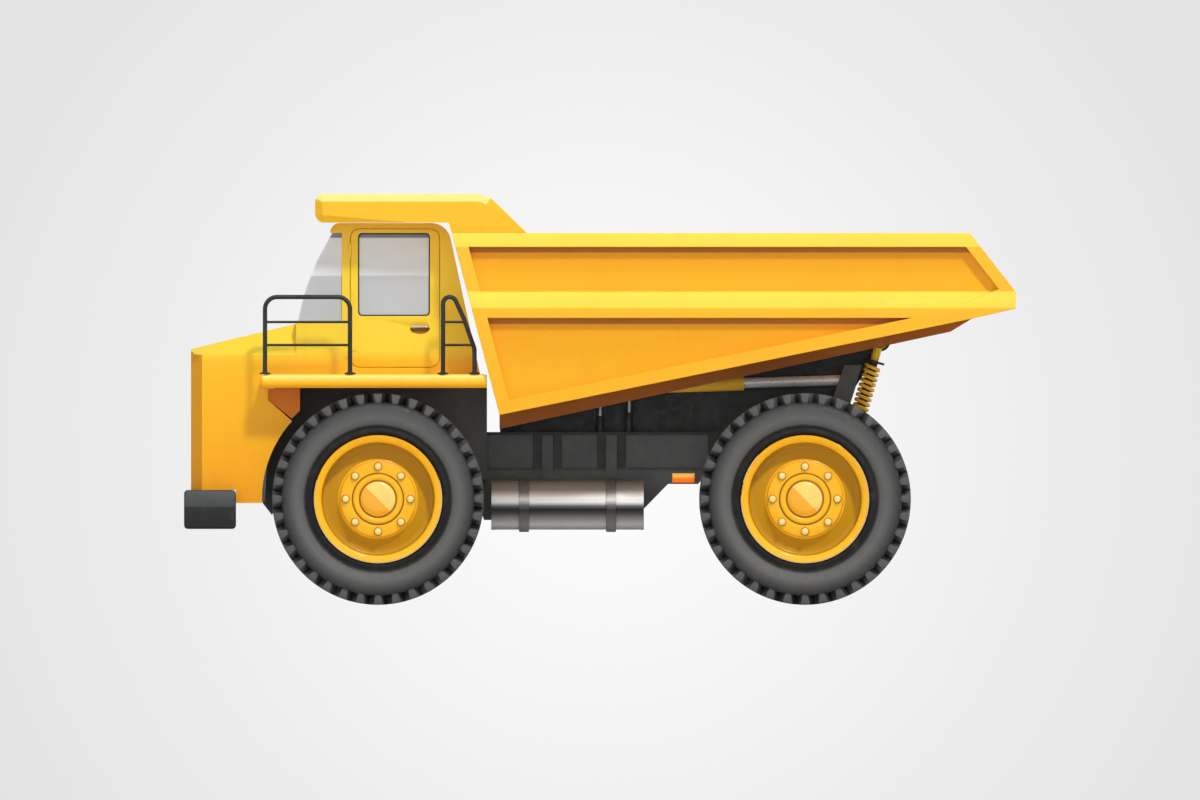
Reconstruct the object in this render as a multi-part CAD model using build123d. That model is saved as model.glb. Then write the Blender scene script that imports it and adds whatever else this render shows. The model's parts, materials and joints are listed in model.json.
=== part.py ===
"""Rigid off-highway dump truck: two axles, twin rear wheels, cab on the left, bed that tips to the rear.

Millimetres. +X points forward, +Y to the driver's left, +Z up. The origin is on the ground, under the
middle of the truck's length and width.
"""
from build123d import *
import math
import os

# Overall layout
wheelbase = 4270.0
front_axle_x = 2220.0
rear_axle_x = front_axle_x - wheelbase
axle_z = 1060.0
nose_reach = 1870.0
nose_front_x = front_axle_x + nose_reach

# Wheels
tyre_radius = 1060.0
tyre_width = 600.0
tread_width = 470.0
lug_height = 85.0
lug_count = 36
lug_share = 0.56
side_facets = 24
shoulder_step = 12.0
bead_width = 20.0
bead_inset = 60.0
rim_radius = 640.0
rim_flange = 80.0
rim_half_width = 260.0
rim_face_y = 110.0
disc_thickness = 40.0
drum_wall = 40.0
hub_barrel_radius = 200.0
hub_barrel_length = 90.0
hub_flange_radius = 380.0
hub_flange_height = 45.0
hub_ring_radius = 250.0
hub_ring_height = 75.0
hub_cap_radius = 190.0
hub_cap_height = 100.0
stud_count = 8
stud_circle = 325.0
stud_radius = 32.0
stud_height = 75.0
front_tyre_y = 1600.0
rear_outer_tyre_y = 1620.0
dual_spacing = 680.0
seat_gap = 0.3

# Front axle and steering
kingpin_y = 1450.0
kingpin_radius = 60.0
kingpin_gap = 0.3
knuckle_height = 300.0
knuckle_radius = 95.0
fork_wall = 60.0
fork_depth = 120.0
fork_end_radius = 95.0
fork_arm = 75.0
fork_gap = 6.0
axle_beam_depth = 220.0
axle_beam_low_z = 840.0
axle_beam_top_z = 1000.0
spindle_radius = 110.0
spindle_gap = 0.3
spindle_reach = 20.0
spindle_end_gap = 10.0
steer_arm_length = 320.0
steer_arm_width = 80.0
steer_arm_height = 60.0
steer_arm_drop = 60.0
tie_rod_radius = 32.0
tie_rod_drop = 44.0
tie_rod_eye_radius = 45.0
ball_pin_radius = 20.0
ball_pin_rise = 8.0

# Main frame: stations along the rails, then heights
rail_outer_y = 520.0
rail_inner_y = 360.0
rail_setback = 170.0
rail_nose_x = nose_front_x - rail_setback
rail_slope_run = 360.0
rail_shoulder_x = rail_nose_x - rail_slope_run
rail_drop_x = 1300.0
rail_drop_run = 140.0
rail_rise_reach = 1720.0
rail_rise_x = rear_axle_x + rail_rise_reach
rail_rise_run = 350.0
rail_kick_reach = 1070.0
rail_kick_x = rear_axle_x + rail_kick_reach
rail_kick_run = 270.0
rail_tail_reach = 290.0
rail_tail_x = rear_axle_x - rail_tail_reach
rail_tail_lean = 140.0
spine_tail_run = 220.0
spine_tail_rise = 200.0
rail_nose_z = 1500.0
rail_top_z = 1730.0
rail_foot_z = 1150.0
rail_front_bottom_z = 1250.0
rail_mid_bottom_z = 850.0
rail_rear_bottom_z = 1210.0
rail_kick_top_z = 1990.0
rail_kick_bottom_z = 1500.0
pocket_top_z = 1700.0
pocket_bottom_z = 1370.0
pocket_depth = 15.0
rib_width = 110.0
rib_height = 12.0
rib_xs = (525.0, -115.0)
spine_front_x = 1000.0
spine_outer_y = 300.0
spine_thickness = 50.0
spine_rise = 30.0
pivot_boss_radius = 105.0
cross_member_length = 140.0
cross_member_inset = 60.0
engine_seat_z = 1350.0
engine_setback = 200.0
engine_front_x = rail_nose_x - engine_setback
engine_rear_x = 2400.0
engine_top_z = 2140.0
engine_side_gap = 20.0

# Rear axle, struts and links
housing_radius = 210.0
housing_bulge_radius = 330.0
housing_half_length = 560.0
strut_foot_reach = 376.0
strut_foot_x = rear_axle_x - strut_foot_reach
strut_seat_height = 60.0
strut_foot_z = 1350.0
strut_rod_radius = 42.0
strut_cup_radius = 108.0
strut_cup_height = 90.0
strut_collar_drop = 215.0
strut_collar_thickness = 24.0
strut_eye_radius = 80.0
strut_eye_width = 100.0
spring_wire_radius = 17.0
spring_radius = 72.0
spring_turns = 13
link_width = 90.0
link_reach = 980.0
link_front_x = rear_axle_x + link_reach
link_radius = 60.0
front_strut_y = 440.0
front_strut_radius = 90.0
tow_eye_reach = 420.0
tow_eye_radius = 90.0
tow_eye_thickness = 80.0
tow_eye_bore = 40.0

# Tanks, side lamps and bed rest posts
tank_front_gap = 70.0
tank_rear_gap = 550.0
tank_front_x = front_axle_x - tyre_radius - tank_front_gap
tank_rear_x = rear_axle_x + tyre_radius + tank_rear_gap
tank_y = 870.0
tank_z = 1000.0
tank_radius = 250.0
tank_edge = 14.0
strap_inset = 330.0
strap_xs = (tank_front_x - strap_inset, tank_rear_x + strap_inset)
strap_width = 100.0
strap_thickness = 20.0
strap_bracket_height = 240.0
side_lamp_gap = 155.0
side_lamp_x = rear_axle_x + tyre_radius + side_lamp_gap
side_lamp_length = 230.0
side_lamp_z = 1270.0
side_lamp_height = 100.0
side_lamp_depth = 45.0
post_xs = (0.0, -290.0)
post_sleeve_radius = 36.0
post_sleeve_height = 185.0
post_rod_radius = 24.0
post_seat_rise = 30.0
rest_gap = 6.0

# Nose
nose_rear_x = 3040.0
nose_half_width = 1500.0
nose_bottom_z = 1020.0
nose_front_top_z = 2560.0
nose_rear_top_z = 2812.0
nose_chamfer = 110.0
nose_belt_z = 2500.0
nose_crown_inset = 180.0
nose_wall = 40.0
arch_radius = 1160.0
arch_notch_x = 3320.0
arch_notch_drop = 120.0
arch_notch_run = 240.0
arch_notch_fall = 210.0
grille_half_width = 800.0
grille_low_z = 1290.0
grille_high_z = 2330.0
grille_depth = 35.0
grille_slots = 9
grille_border = 50.0
fitting_recess = 5.0
radiator_depth = 120.0
lamp_y = 1120.0
lamp_z = 1560.0
lamp_width = 280.0
lamp_height = 200.0
bumper_reach = 70.0
bumper_tyre_gap = 360.0
bumper_front_x = nose_front_x + bumper_reach
bumper_rear_x = front_axle_x + tyre_radius + bumper_tyre_gap
bumper_low_z = 760.0
bumper_half_width = 1720.0
bumper_edge = 40.0
bumper_end_slope = 60.0
bumper_end_height = 160.0

# Deck, wheel wells and railings
deck_top_z = 2310.0
deck_thickness = 140.0
deck_half_width = 1920.0
deck_edge = 45.0
deck_front_x = 3380.0
deck_rear_x = 1130.0
deck_low_z = deck_top_z - deck_thickness
well_inner_y = 620.0
well_outer_y = 660.0
well_lining = 30.0
well_foot_length = 120.0
well_toe_run = 280.0
well_toe_drop = 120.0
railing_y = 1870.0
railing_top_z = 3080.0
railing_tube = 22.0
railing_rung = 14.0
railing_rung_zs = (2830.0, 2600.0)
railing_front_xs = (3350.0, 2500.0)
railing_rear_xs = (1570.0, 1255.0)
railing_rear_shoulder_x = 1440.0
railing_rear_knee_z = 2560.0
railing_bend = 120.0

# Cab
cab_left_y = 1500.0
cab_right_y = -100.0
cab_wall = 60.0
cab_roof_z = 3820.0
cab_rear_foot_x = 1200.0
cab_rear_lean = 0.217
cab_corner = 200.0
cab_roof_rear_x = cab_rear_foot_x + cab_rear_lean * (cab_roof_z - deck_top_z) + cab_corner
cab_roof_front_x = 2600.0
cab_brow_radius = 100.0
cab_brow_x = cab_roof_front_x + cab_brow_radius
cab_brow_z = cab_roof_z - cab_brow_radius
windscreen_bulge_x = 2915.0
windscreen_bulge_z = 3290.0
windscreen_low_z = 2840.0
glass_thickness = 16.0
glass_inset = 20.0
window_low_z = 2890.0
window_high_z = 3720.0
window_corner = 40.0
quarter_window_x = 2580.0
rear_window_side = 250.0
rear_window_low_z = 2850.0
rear_window_high_z = 3450.0
door_front_x = 2500.0
door_rear_x = 1600.0
door_low_z = 2375.0
door_high_z = 3765.0
door_corner = 100.0
door_gap = 6.0
door_window_front_x = 2420.0
door_window_rear_x = 1700.0
hinge_y = cab_left_y + 16.0
hinge_radius = 15.0
hinge_zs = (2550.0, 3550.0)
hinge_length = 70.0
handle_x = 1800.0
handle_z = 2770.0
handle_length = 180.0
handle_radius = 11.0
handle_standoff = 45.0
seat_x = 1900.0
seat_y = 850.0
seat_length = 500.0
seat_width = 520.0
seat_base_height = 330.0
seat_cushion = 140.0
seat_back_height = 700.0
seat_back_thickness = 110.0
seat_back_lean = 60.0
seat_base_width = 320.0
seat_edge = 50.0
wheel_ring_radius = 220.0
wheel_ring_tube = 16.0
column_length = 150.0
column_radius = 30.0
dash_depth = 220.0
dash_drop = 60.0
dash_face = 160.0
dash_lean = 100.0

# Bed
bed_half_width = 2000.0
bed_panel_depth = 100.0
bed_wall = 60.0
bed_top_z = 3720.0
bed_tail_low_z = 2965.0
bed_tail_high_z = 3130.0
bed_tail_top_x = -3700.0
bed_tail_run = 460.0
bed_tail_x = bed_tail_top_x - bed_tail_run
bed_flange_break_x = -3720.0
bed_front_foot_x = 1005.0
bed_front_foot_z = 1900.0
bed_front_slope = 0.2626
flange_at_middle = 2105.0
floor_slope = 0.2038
floor_lift = 100.0
floor_thickness = 80.0
front_wall_thickness = 80.0
corner_post_width = 134.0
top_rail_height = 140.0
tail_band = 150.0
mid_rail_top_z = 3160.0
mid_rail_nose_z = 2970.0
mid_rail_low_z = 2870.0
flange_height = 130.0
canopy_front_x = 2850.0
canopy_clearance = 20.0
canopy_height = 270.0
canopy_low_z = cab_roof_z + canopy_clearance
canopy_top_z = canopy_low_z + canopy_height
canopy_break_x = 1130.0
canopy_foot_x = 730.0
canopy_plate = 60.0
canopy_corner = 85.0
canopy_bend = 300.0
canopy_edge = 80.0
belly_at_middle = 1977.0
belly_slope = 0.2157
sill_inner_y = 600.0
sill_outer_y = 750.0
sill_rear_x = -3505.0
bed_pivot_reach = 750.0
bed_pivot_drop = 135.64
bed_pivot_x = rear_axle_x - bed_pivot_reach
bed_pivot_z = flange_at_middle - floor_slope * bed_pivot_x + floor_lift - bed_pivot_drop
sill_boss_radius = 75.0
pivot_pin_radius = 45.0
pin_gap = 0.3

# Hoist cylinders
hoist_y = 450.0
hoist_front_x = -450.0
hoist_front_z = 2190.0
hoist_rear_reach = 410.0
hoist_rear_x = rear_axle_x - hoist_rear_reach
hoist_rear_z = 2250.0
barrel_radius = 75.0
barrel_length = 990.0
barrel_end_wall = 80.0
hoist_eye_radius = 85.0
hoist_eye_width = 100.0
hoist_pin_radius = 35.0
hoist_ear_thickness = 25.0
hoist_ear_gap = 32.0
hoist_rod_radius = 52.0
hoist_rod_gap = 0.5
hoist_rod_inside = 820.0
rod_eye_radius = 62.0

nodes = {}


def side_sketch(points, radius=0.0):
    """A closed outline of (x, z) points, its corners rounded by one radius."""
    sketch = Polygon(*points, align=None)
    if radius > 0:
        sketch = fillet(sketch.vertices(), radius)
    return sketch


def side_solid(sketch, y_low, y_high):
    """A sketch drawn in x and z, given its width in y."""
    return extrude(Plane.XZ.offset(-y_low) * sketch, amount=y_high - y_low, dir=(0, 1, 0))


def side_plate(points, y_low, y_high, radius=0.0):
    return side_solid(side_sketch(points, radius), y_low, y_high)


def block(x_low, x_high, y_low, y_high, z_low, z_high):
    return Pos((x_low + x_high) / 2, (y_low + y_high) / 2, (z_low + z_high) / 2) * Box(
        x_high - x_low, y_high - y_low, z_high - z_low)


def cross_cylinder(x, z, radius, y_low, y_high):
    """A cylinder along y."""
    return Pos(x, (y_low + y_high) / 2, z) * Rot(90, 0, 0) * Cylinder(radius, y_high - y_low)


def upright_cylinder(x, y, radius, z_low, z_high):
    return Pos(x, y, (z_low + z_high) / 2) * Cylinder(radius, z_high - z_low)


def both_sides(shape):
    """A piece and its mirror image across the truck's middle."""
    return [shape, mirror(shape, about=Plane.XZ)]


# Wheels


def gear_outline(outer, inner, count, share):
    """Alternating lugs and grooves round the tread, as one polygon."""
    step = 2 * math.pi / count
    points = []
    for index in range(count):
        middle = math.pi / 2 + index * step
        for radius, offset_share in ((inner, -share / 2), (outer, -share * 0.46), (outer, share * 0.46), (inner, share / 2)):
            angle = middle + offset_share * step
            points.append((radius * math.cos(angle), radius * math.sin(angle)))
    return Polygon(*points, align=None)


def ring_points(radius, y):
    """Corners of a regular polygon that stands across the axle."""
    turns = [2 * math.pi * index / side_facets for index in range(side_facets)]
    return [(radius * math.cos(turn), y, radius * math.sin(turn)) for turn in turns]


def ring_section(radius_near, y_near, radius_far, y_far):
    """A slice of the tyre's side with flat facets, tapering between two radii."""
    near, far = ring_points(radius_near, y_near), ring_points(radius_far, y_far)
    outlines = [near, far]
    for index in range(side_facets):
        after = (index + 1) % side_facets
        outlines.append([near[index], near[after], far[after], far[index]])
    return Solid(Shell([Face(Wire.make_polygon(outline)) for outline in outlines]))


def make_tyre():
    """Tread with lugs, a bulging side on each face, and an open middle for the rim. Centred on the origin."""
    groove_radius = tyre_radius - lug_height
    half_tread = tread_width / 2
    half_width = tyre_width / 2
    bulge_radius = (groove_radius + rim_radius) / 2
    lug_outer = tyre_radius / math.cos(math.pi / lug_count * lug_share * 0.92)
    tyre = side_solid(gear_outline(lug_outer, groove_radius, lug_count, lug_share), -half_tread, half_tread)
    for side in (-1, 1):
        tyre += ring_section(groove_radius - shoulder_step, side * half_tread, bulge_radius, side * half_width)
        bead = ring_section(bulge_radius, side * half_width, rim_radius + bead_width, side * (half_width - bead_inset))
        tyre += bead
    bore = side_solid(RegularPolygon(rim_radius + seat_gap, side_facets, major_radius=False), -tyre_width, tyre_width)
    return tyre - bore


def rim_barrel():
    return cross_cylinder(0, 0, rim_radius - seat_gap, -rim_half_width, rim_half_width) - cross_cylinder(
        0, 0, rim_radius - rim_flange, -tyre_width, tyre_width)


def make_rim(side):
    """Rim barrel with a dished disc, the hub flange with its studs, the cap, and the bore for the spindle."""
    disc_low, disc_high = sorted((side * rim_face_y, side * (rim_face_y - disc_thickness)))
    rim = rim_barrel() + cross_cylinder(0, 0, rim_radius - rim_flange + 1, disc_low, disc_high)
    low, high = sorted((side * rim_face_y, side * (rim_face_y - disc_thickness - hub_barrel_length)))
    rim += cross_cylinder(0, 0, hub_barrel_radius, low, high)
    for radius, height in ((hub_flange_radius, hub_flange_height), (hub_ring_radius, hub_ring_height),
                           (hub_cap_radius, hub_cap_height)):
        low, high = sorted((side * rim_face_y, side * (rim_face_y + height)))
        rim += cross_cylinder(0, 0, radius, low, high)
    low, high = sorted((side * rim_face_y, side * (rim_face_y + stud_height)))
    for index in range(stud_count):
        angle = 2 * math.pi * index / stud_count
        rim += cross_cylinder(stud_circle * math.cos(angle), stud_circle * math.sin(angle), stud_radius, low, high)
    low, high = sorted((-side * tyre_width, side * (rim_face_y + spindle_reach + spindle_end_gap)))
    return rim - cross_cylinder(0, 0, spindle_radius + spindle_gap, low, high)


def add_wheels():
    """Single front wheels, and rear wheels in pairs that a drum joins."""
    tyre = make_tyre()
    for name, side in (("left", 1), ("right", -1)):
        rim = make_rim(side)
        place = Pos(front_axle_x, side * front_tyre_y, axle_z)
        nodes["front_tyre_" + name] = place * tyre
        nodes["front_rim_" + name] = place * rim
        outer = Pos(rear_axle_x, side * rear_outer_tyre_y, axle_z)
        inner_y = rear_outer_tyre_y - dual_spacing
        inner = Pos(rear_axle_x, side * inner_y, axle_z)
        nodes["rear_tyres_" + name] = Compound(children=[outer * tyre, inner * tyre])
        low, high = sorted((side * (inner_y - rim_half_width), side * (rear_outer_tyre_y + rim_face_y - disc_thickness)))
        drum = cross_cylinder(rear_axle_x, axle_z, rim_radius - rim_flange + 1, low, high)
        drum -= cross_cylinder(rear_axle_x, axle_z, rim_radius - rim_flange - drum_wall, low - 1, high + 1)
        nodes["rear_rims_" + name] = outer * rim + inner * rim_barrel() + drum


# Front axle and steering


def add_front_axle():
    """Dropped beam with a fork at each end, knuckles on kingpins, and the tie rod behind the axle."""
    fork_face = kingpin_y - knuckle_radius - fork_gap
    fork_inner = fork_face - fork_wall
    half_depth = fork_depth / 2
    beam = block(front_axle_x - axle_beam_depth / 2, front_axle_x + axle_beam_depth / 2, -fork_inner, fork_inner,
                 axle_beam_low_z, axle_beam_top_z)
    top = axle_z + knuckle_height / 2
    bottom = axle_z - knuckle_height / 2
    arm_x = front_axle_x - steer_arm_length
    arm_top = axle_z - steer_arm_drop
    arm_low = arm_top - steer_arm_height
    for name, side in (("left", 1), ("right", -1)):
        pin_y = side * kingpin_y
        low, high = sorted((side * (fork_inner - fork_wall), side * fork_face))
        beam += block(front_axle_x - half_depth, front_axle_x + half_depth, low, high, bottom - fork_arm, top + fork_arm)
        low, high = sorted((side * (fork_inner - fork_wall), pin_y))
        for z in (bottom - fork_gap - fork_arm, top + fork_gap):
            beam += block(front_axle_x - half_depth, front_axle_x + half_depth, low, high, z, z + fork_arm)
            beam += upright_cylinder(front_axle_x, pin_y, fork_end_radius, z, z + fork_arm)
        beam -= upright_cylinder(front_axle_x, pin_y, kingpin_radius + kingpin_gap, 0, bed_top_z)

        knuckle = upright_cylinder(front_axle_x, pin_y, knuckle_radius, bottom, top)
        low, high = sorted((pin_y, side * (front_tyre_y + rim_face_y + spindle_reach)))
        knuckle += cross_cylinder(front_axle_x, axle_z, spindle_radius, low, high)
        knuckle += upright_cylinder(front_axle_x, pin_y, kingpin_radius, bottom - fork_arm, top + fork_arm)
        knuckle += block(arm_x, front_axle_x, pin_y - steer_arm_width / 2, pin_y + steer_arm_width / 2, arm_low, arm_top)
        knuckle += upright_cylinder(arm_x, pin_y, steer_arm_width / 2, arm_low, arm_top)
        knuckle -= upright_cylinder(arm_x, pin_y, ball_pin_radius + pin_gap, arm_low - 1, arm_top + 1)
        nodes["knuckle_" + name] = knuckle
    nodes["front_axle_beam"] = beam
    rod_z = arm_low - tie_rod_drop
    rod = cross_cylinder(arm_x, rod_z, tie_rod_radius, -kingpin_y, kingpin_y)
    for pin_y in (-kingpin_y, kingpin_y):
        rod += upright_cylinder(arm_x, pin_y, tie_rod_eye_radius, rod_z - tie_rod_eye_radius, arm_low - seat_gap)
        rod += upright_cylinder(arm_x, pin_y, ball_pin_radius, rod_z, arm_top + ball_pin_rise)
    nodes["tie_rod"] = rod


# Bed lines that the frame and the bed share


def belly_z(x):
    """Height of the bed sills' lower edge."""
    return belly_at_middle - belly_slope * x


def flange_z(x):
    """Height of the lower edge of the bed's side."""
    return flange_at_middle - floor_slope * x


def floor_under_z(x):
    return flange_z(x) + floor_lift


def bed_front_x(z):
    """Front face of the bed, which leans forward towards the top."""
    return bed_front_foot_x + bed_front_slope * (z - bed_front_foot_z)


def front_meets(z_at_middle, setback):
    """Where the bed's front, set back, meets a line that slopes as the floor does."""
    reach = bed_front_foot_x - setback + bed_front_slope * (z_at_middle - bed_front_foot_z)
    return reach / (1 + bed_front_slope * floor_slope)


# Main frame


def add_frame():
    """Deep rails that step down between the axles and up over the rear one, two inner plates that follow
    the bed's belly to the pivot bosses, and the cross members that tie them together."""
    kick_top_x = rail_kick_x - 0.65 * rail_kick_run
    rail = side_plate([
        (rail_nose_x, rail_foot_z), (rail_nose_x, rail_nose_z), (rail_shoulder_x, rail_top_z),
        (kick_top_x, rail_top_z), (kick_top_x - rail_kick_run, rail_kick_top_z),
        (rail_tail_x - rail_tail_lean, rail_kick_top_z), (rail_tail_x, rail_kick_bottom_z),
        (rail_kick_x - rail_kick_run, rail_kick_bottom_z), (rail_kick_x, rail_rear_bottom_z),
        (rail_rise_x - rail_rise_run, rail_rear_bottom_z), (rail_rise_x, rail_mid_bottom_z),
        (rail_drop_x - rail_drop_run, rail_mid_bottom_z), (rail_drop_x, rail_front_bottom_z),
        (rail_shoulder_x, rail_front_bottom_z), (rail_shoulder_x + rail_drop_run, rail_foot_z)],
        rail_inner_y, rail_outer_y)
    bay_edges = [rail_drop_x - rail_drop_run]
    for rib_x in rib_xs:
        bay_edges += [rib_x + 1.3 * rib_width, rib_x - 1.3 * rib_width]
        rail += block(rib_x - rib_width / 2, rib_x + rib_width / 2, rail_outer_y - pocket_depth,
                      rail_outer_y + rib_height, rail_front_bottom_z, pocket_top_z)
    bay_edges.append(rail_kick_x - 100)
    for front, rear in zip(bay_edges[0::2], bay_edges[1::2]):
        rail -= block(rear, front, rail_outer_y - pocket_depth, rail_outer_y + rib_height + 1, pocket_bottom_z,
                      pocket_top_z)
    ear_top_z = hoist_rear_z + 150
    ear = side_plate([
        (hoist_rear_x + 140, rail_kick_top_z - 20), (hoist_rear_x + 140, hoist_rear_z - 200),
        (hoist_rear_x + 15, ear_top_z), (hoist_rear_x - 160, ear_top_z),
        (hoist_rear_x - 30, rail_kick_top_z - 20)], rail_outer_y - 5, rail_outer_y + 30)
    plate = side_plate([
        (spine_front_x, rail_front_bottom_z), (spine_front_x, belly_z(spine_front_x) + spine_rise),
        (bed_pivot_x + 200, belly_z(bed_pivot_x + 200) + spine_rise),
        (bed_pivot_x, bed_pivot_z + pivot_boss_radius * 0.8), (bed_pivot_x, bed_pivot_z - pivot_boss_radius * 0.8),
        (rail_tail_x - spine_tail_run, rail_kick_top_z + spine_tail_rise), (rail_tail_x, rail_kick_bottom_z),
        (rail_kick_x - rail_kick_run, rail_kick_bottom_z), (rail_kick_x, rail_front_bottom_z)],
        spine_outer_y - spine_thickness, spine_outer_y)
    plate += cross_cylinder(bed_pivot_x, bed_pivot_z, pivot_boss_radius, spine_outer_y - spine_thickness,
                            spine_outer_y)
    rail += ear
    plate -= cross_cylinder(bed_pivot_x, bed_pivot_z, pivot_pin_radius + pin_gap, 0, bed_half_width)
    plate -= rail
    stations = ((rail_nose_x - cross_member_length / 2, rail_foot_z, rail_nose_z - cross_member_inset),
                (engine_front_x - cross_member_length, rail_front_bottom_z, engine_seat_z),
                (engine_rear_x + cross_member_length, rail_front_bottom_z, engine_seat_z),
                (spine_front_x - cross_member_length, rail_front_bottom_z + cross_member_inset,
                 rail_top_z - cross_member_inset),
                (post_xs[0] + 200, rail_mid_bottom_z + 2 * cross_member_inset, pocket_bottom_z),
                (rail_kick_x - rail_kick_run, rail_kick_bottom_z + cross_member_inset, rail_top_z),
                (rail_tail_x + cross_member_length, rail_kick_bottom_z + cross_member_inset,
                 rail_kick_top_z - cross_member_inset))
    ties = []
    for x, low, high in stations:
        tie = block(x - cross_member_length / 2, x + cross_member_length / 2, -rail_inner_y, rail_inner_y, low, high)
        tie = tie - plate - mirror(plate, about=Plane.XZ)
        ties += tie.solids()
    nodes["frame_rail_left"], nodes["frame_rail_right"] = both_sides(rail)
    nodes["frame_spine"] = Compound(children=both_sides(plate))
    nodes["frame_cross_members"] = Compound(children=ties)
    pin_end = sill_outer_y + 20
    nodes["bed_pivot_pin"] = cross_cylinder(bed_pivot_x, bed_pivot_z, pivot_pin_radius, -pin_end, pin_end)
    engine_y = rail_inner_y - engine_side_gap
    nodes["engine_block"] = block(engine_rear_x, engine_front_x, -engine_y, engine_y, engine_seat_z, engine_top_z)


def add_axle_supports():
    """Front struts, the rear axle housing with its links and tow eye, and the rear spring struts."""
    strut = upright_cylinder(front_axle_x, front_strut_y, front_strut_radius, axle_beam_top_z, rail_front_bottom_z)
    nodes["front_struts"] = Compound(children=both_sides(strut))

    spindle_end = rear_outer_tyre_y + rim_face_y + spindle_reach
    housing = cross_cylinder(rear_axle_x, axle_z, housing_radius, -housing_half_length, housing_half_length)
    housing += Pos(rear_axle_x, 0, axle_z) * Sphere(housing_bulge_radius)
    housing += cross_cylinder(rear_axle_x, axle_z, spindle_radius, -spindle_end, spindle_end)
    axis = Vector(bed_pivot_x - strut_foot_x, 0, bed_pivot_z - strut_foot_z)
    foot = Plane(origin=(strut_foot_x, hoist_y, strut_foot_z), x_dir=(0, 1, 0), z_dir=axis)
    seat = foot * Pos(0, 0, -strut_seat_height / 2) * Box(link_width, 2 * strut_cup_radius, strut_seat_height)
    arm_x = rear_axle_x - 0.3 * housing_radius
    seat += side_plate([(arm_x, axle_z + 0.48 * housing_radius), (arm_x, axle_z + 0.9 * housing_radius),
                        (strut_foot_x + 1.5 * strut_seat_height, strut_foot_z),
                        (strut_foot_x - strut_seat_height, strut_foot_z - 0.9 * strut_seat_height)],
                       hoist_y - link_width / 2, hoist_y + link_width / 2)
    rise = (rail_kick_bottom_z - rail_rear_bottom_z) / rail_kick_run
    link_z = (rail_rear_bottom_z + rise * (rail_kick_x - link_front_x)
              - (link_radius + seat_gap) * math.sqrt(1 + rise ** 2))
    link = side_plate([(rear_axle_x, axle_z - 1.3 * link_radius), (link_front_x, link_z - link_radius),
                       (link_front_x, link_z + link_radius), (rear_axle_x, axle_z + 1.3 * link_radius)],
                      hoist_y - link_width / 2, hoist_y + link_width / 2)
    link += cross_cylinder(link_front_x, link_z, link_radius, hoist_y - link_width / 2, hoist_y + link_width / 2)
    for piece in both_sides(seat) + both_sides(link):
        housing += piece
    eye_x = rear_axle_x - tow_eye_reach
    low, high = axle_z - tow_eye_thickness / 2, axle_z + tow_eye_thickness / 2
    housing += block(eye_x, rear_axle_x, -tow_eye_radius, tow_eye_radius, low, high)
    housing += upright_cylinder(eye_x, 0, tow_eye_radius, low, high)
    housing -= upright_cylinder(eye_x, 0, tow_eye_bore, low - 1, high + 1)
    nodes["rear_axle"] = housing

    collar_at = axis.length - strut_collar_drop
    rod = foot * Pos(0, 0, axis.length / 2) * Cylinder(strut_rod_radius, axis.length)
    rod += foot * Pos(0, 0, collar_at) * Cylinder(strut_cup_radius, strut_collar_thickness)
    rod += foot * Pos(0, 0, strut_cup_height / 2) * Cylinder(strut_cup_radius, strut_cup_height)
    rod += cross_cylinder(bed_pivot_x, bed_pivot_z, strut_eye_radius, hoist_y - strut_eye_width / 2,
                          hoist_y + strut_eye_width / 2)
    rod -= cross_cylinder(bed_pivot_x, bed_pivot_z, pivot_pin_radius + pin_gap, 0, bed_half_width)
    nodes["rear_struts"] = Compound(children=both_sides(rod))

    spring_length = collar_at - strut_cup_height - strut_collar_thickness / 2
    coils = spring_coils(spring_length)
    place = foot * Pos(0, 0, strut_cup_height)
    nodes["rear_springs"] = Compound(children=both_sides(place * coils))


def spring_coils(length):
    """A stack of turns standing on the lower cup and reaching the collar."""
    pitch = length / spring_turns
    outline = [(spring_radius - spring_wire_radius, 0.0)]
    for turn in range(spring_turns):
        outline.append((spring_radius + spring_wire_radius, pitch * (turn + 0.5)))
        outline.append((spring_radius - spring_wire_radius, pitch * (turn + 1)))
    outline.append((strut_rod_radius + seat_gap, length))
    outline.append((strut_rod_radius + seat_gap, 0.0))
    return revolve(Plane.XZ * Polygon(*outline, align=None), Axis.Z)


def add_tanks():
    """A polished cylinder on each side of the frame, held by two straps, and the small pieces on the rails."""
    along = Rot(0, 90, 0)
    middle_x = (tank_front_x + tank_rear_x) / 2
    tank = Pos(middle_x, tank_y, tank_z) * along * Cylinder(tank_radius, tank_front_x - tank_rear_x)
    tank = fillet(tank.edges().filter_by(GeomType.CIRCLE), tank_edge)
    nodes["tanks"] = Compound(children=both_sides(tank))
    straps = []
    for x in strap_xs:
        strap = Pos(x, tank_y, tank_z) * along * Cylinder(tank_radius + strap_thickness, strap_width)
        strap += block(x - strap_width / 2, x + strap_width / 2, rail_outer_y, tank_y,
                       tank_z - strap_bracket_height / 2, tank_z + strap_bracket_height / 2)
        strap -= Pos(x, tank_y, tank_z) * along * Cylinder(tank_radius + seat_gap, strap_width + 2)
        straps += both_sides(strap)
    nodes["tank_straps"] = Compound(children=straps)
    lamp = block(side_lamp_x - side_lamp_length / 2, side_lamp_x + side_lamp_length / 2, rail_outer_y,
                 rail_outer_y + side_lamp_depth, side_lamp_z - side_lamp_height / 2,
                 side_lamp_z + side_lamp_height / 2)
    lamp = fillet(lamp.edges().filter_by(Axis.Y), 0.4 * side_lamp_height)
    nodes["side_lamps"] = Compound(children=both_sides(lamp))
    posts = []
    for x in post_xs:
        sleeve_top = rail_top_z + post_sleeve_height
        post = upright_cylinder(x, front_strut_y, post_sleeve_radius, rail_top_z, sleeve_top)
        post += upright_cylinder(x, front_strut_y, post_rod_radius, rail_top_z, belly_z(x) + post_seat_rise)
        posts += both_sides(post)
    nodes["bed_rest_posts"] = Compound(children=posts)


# Nose, deck and railings


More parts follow.
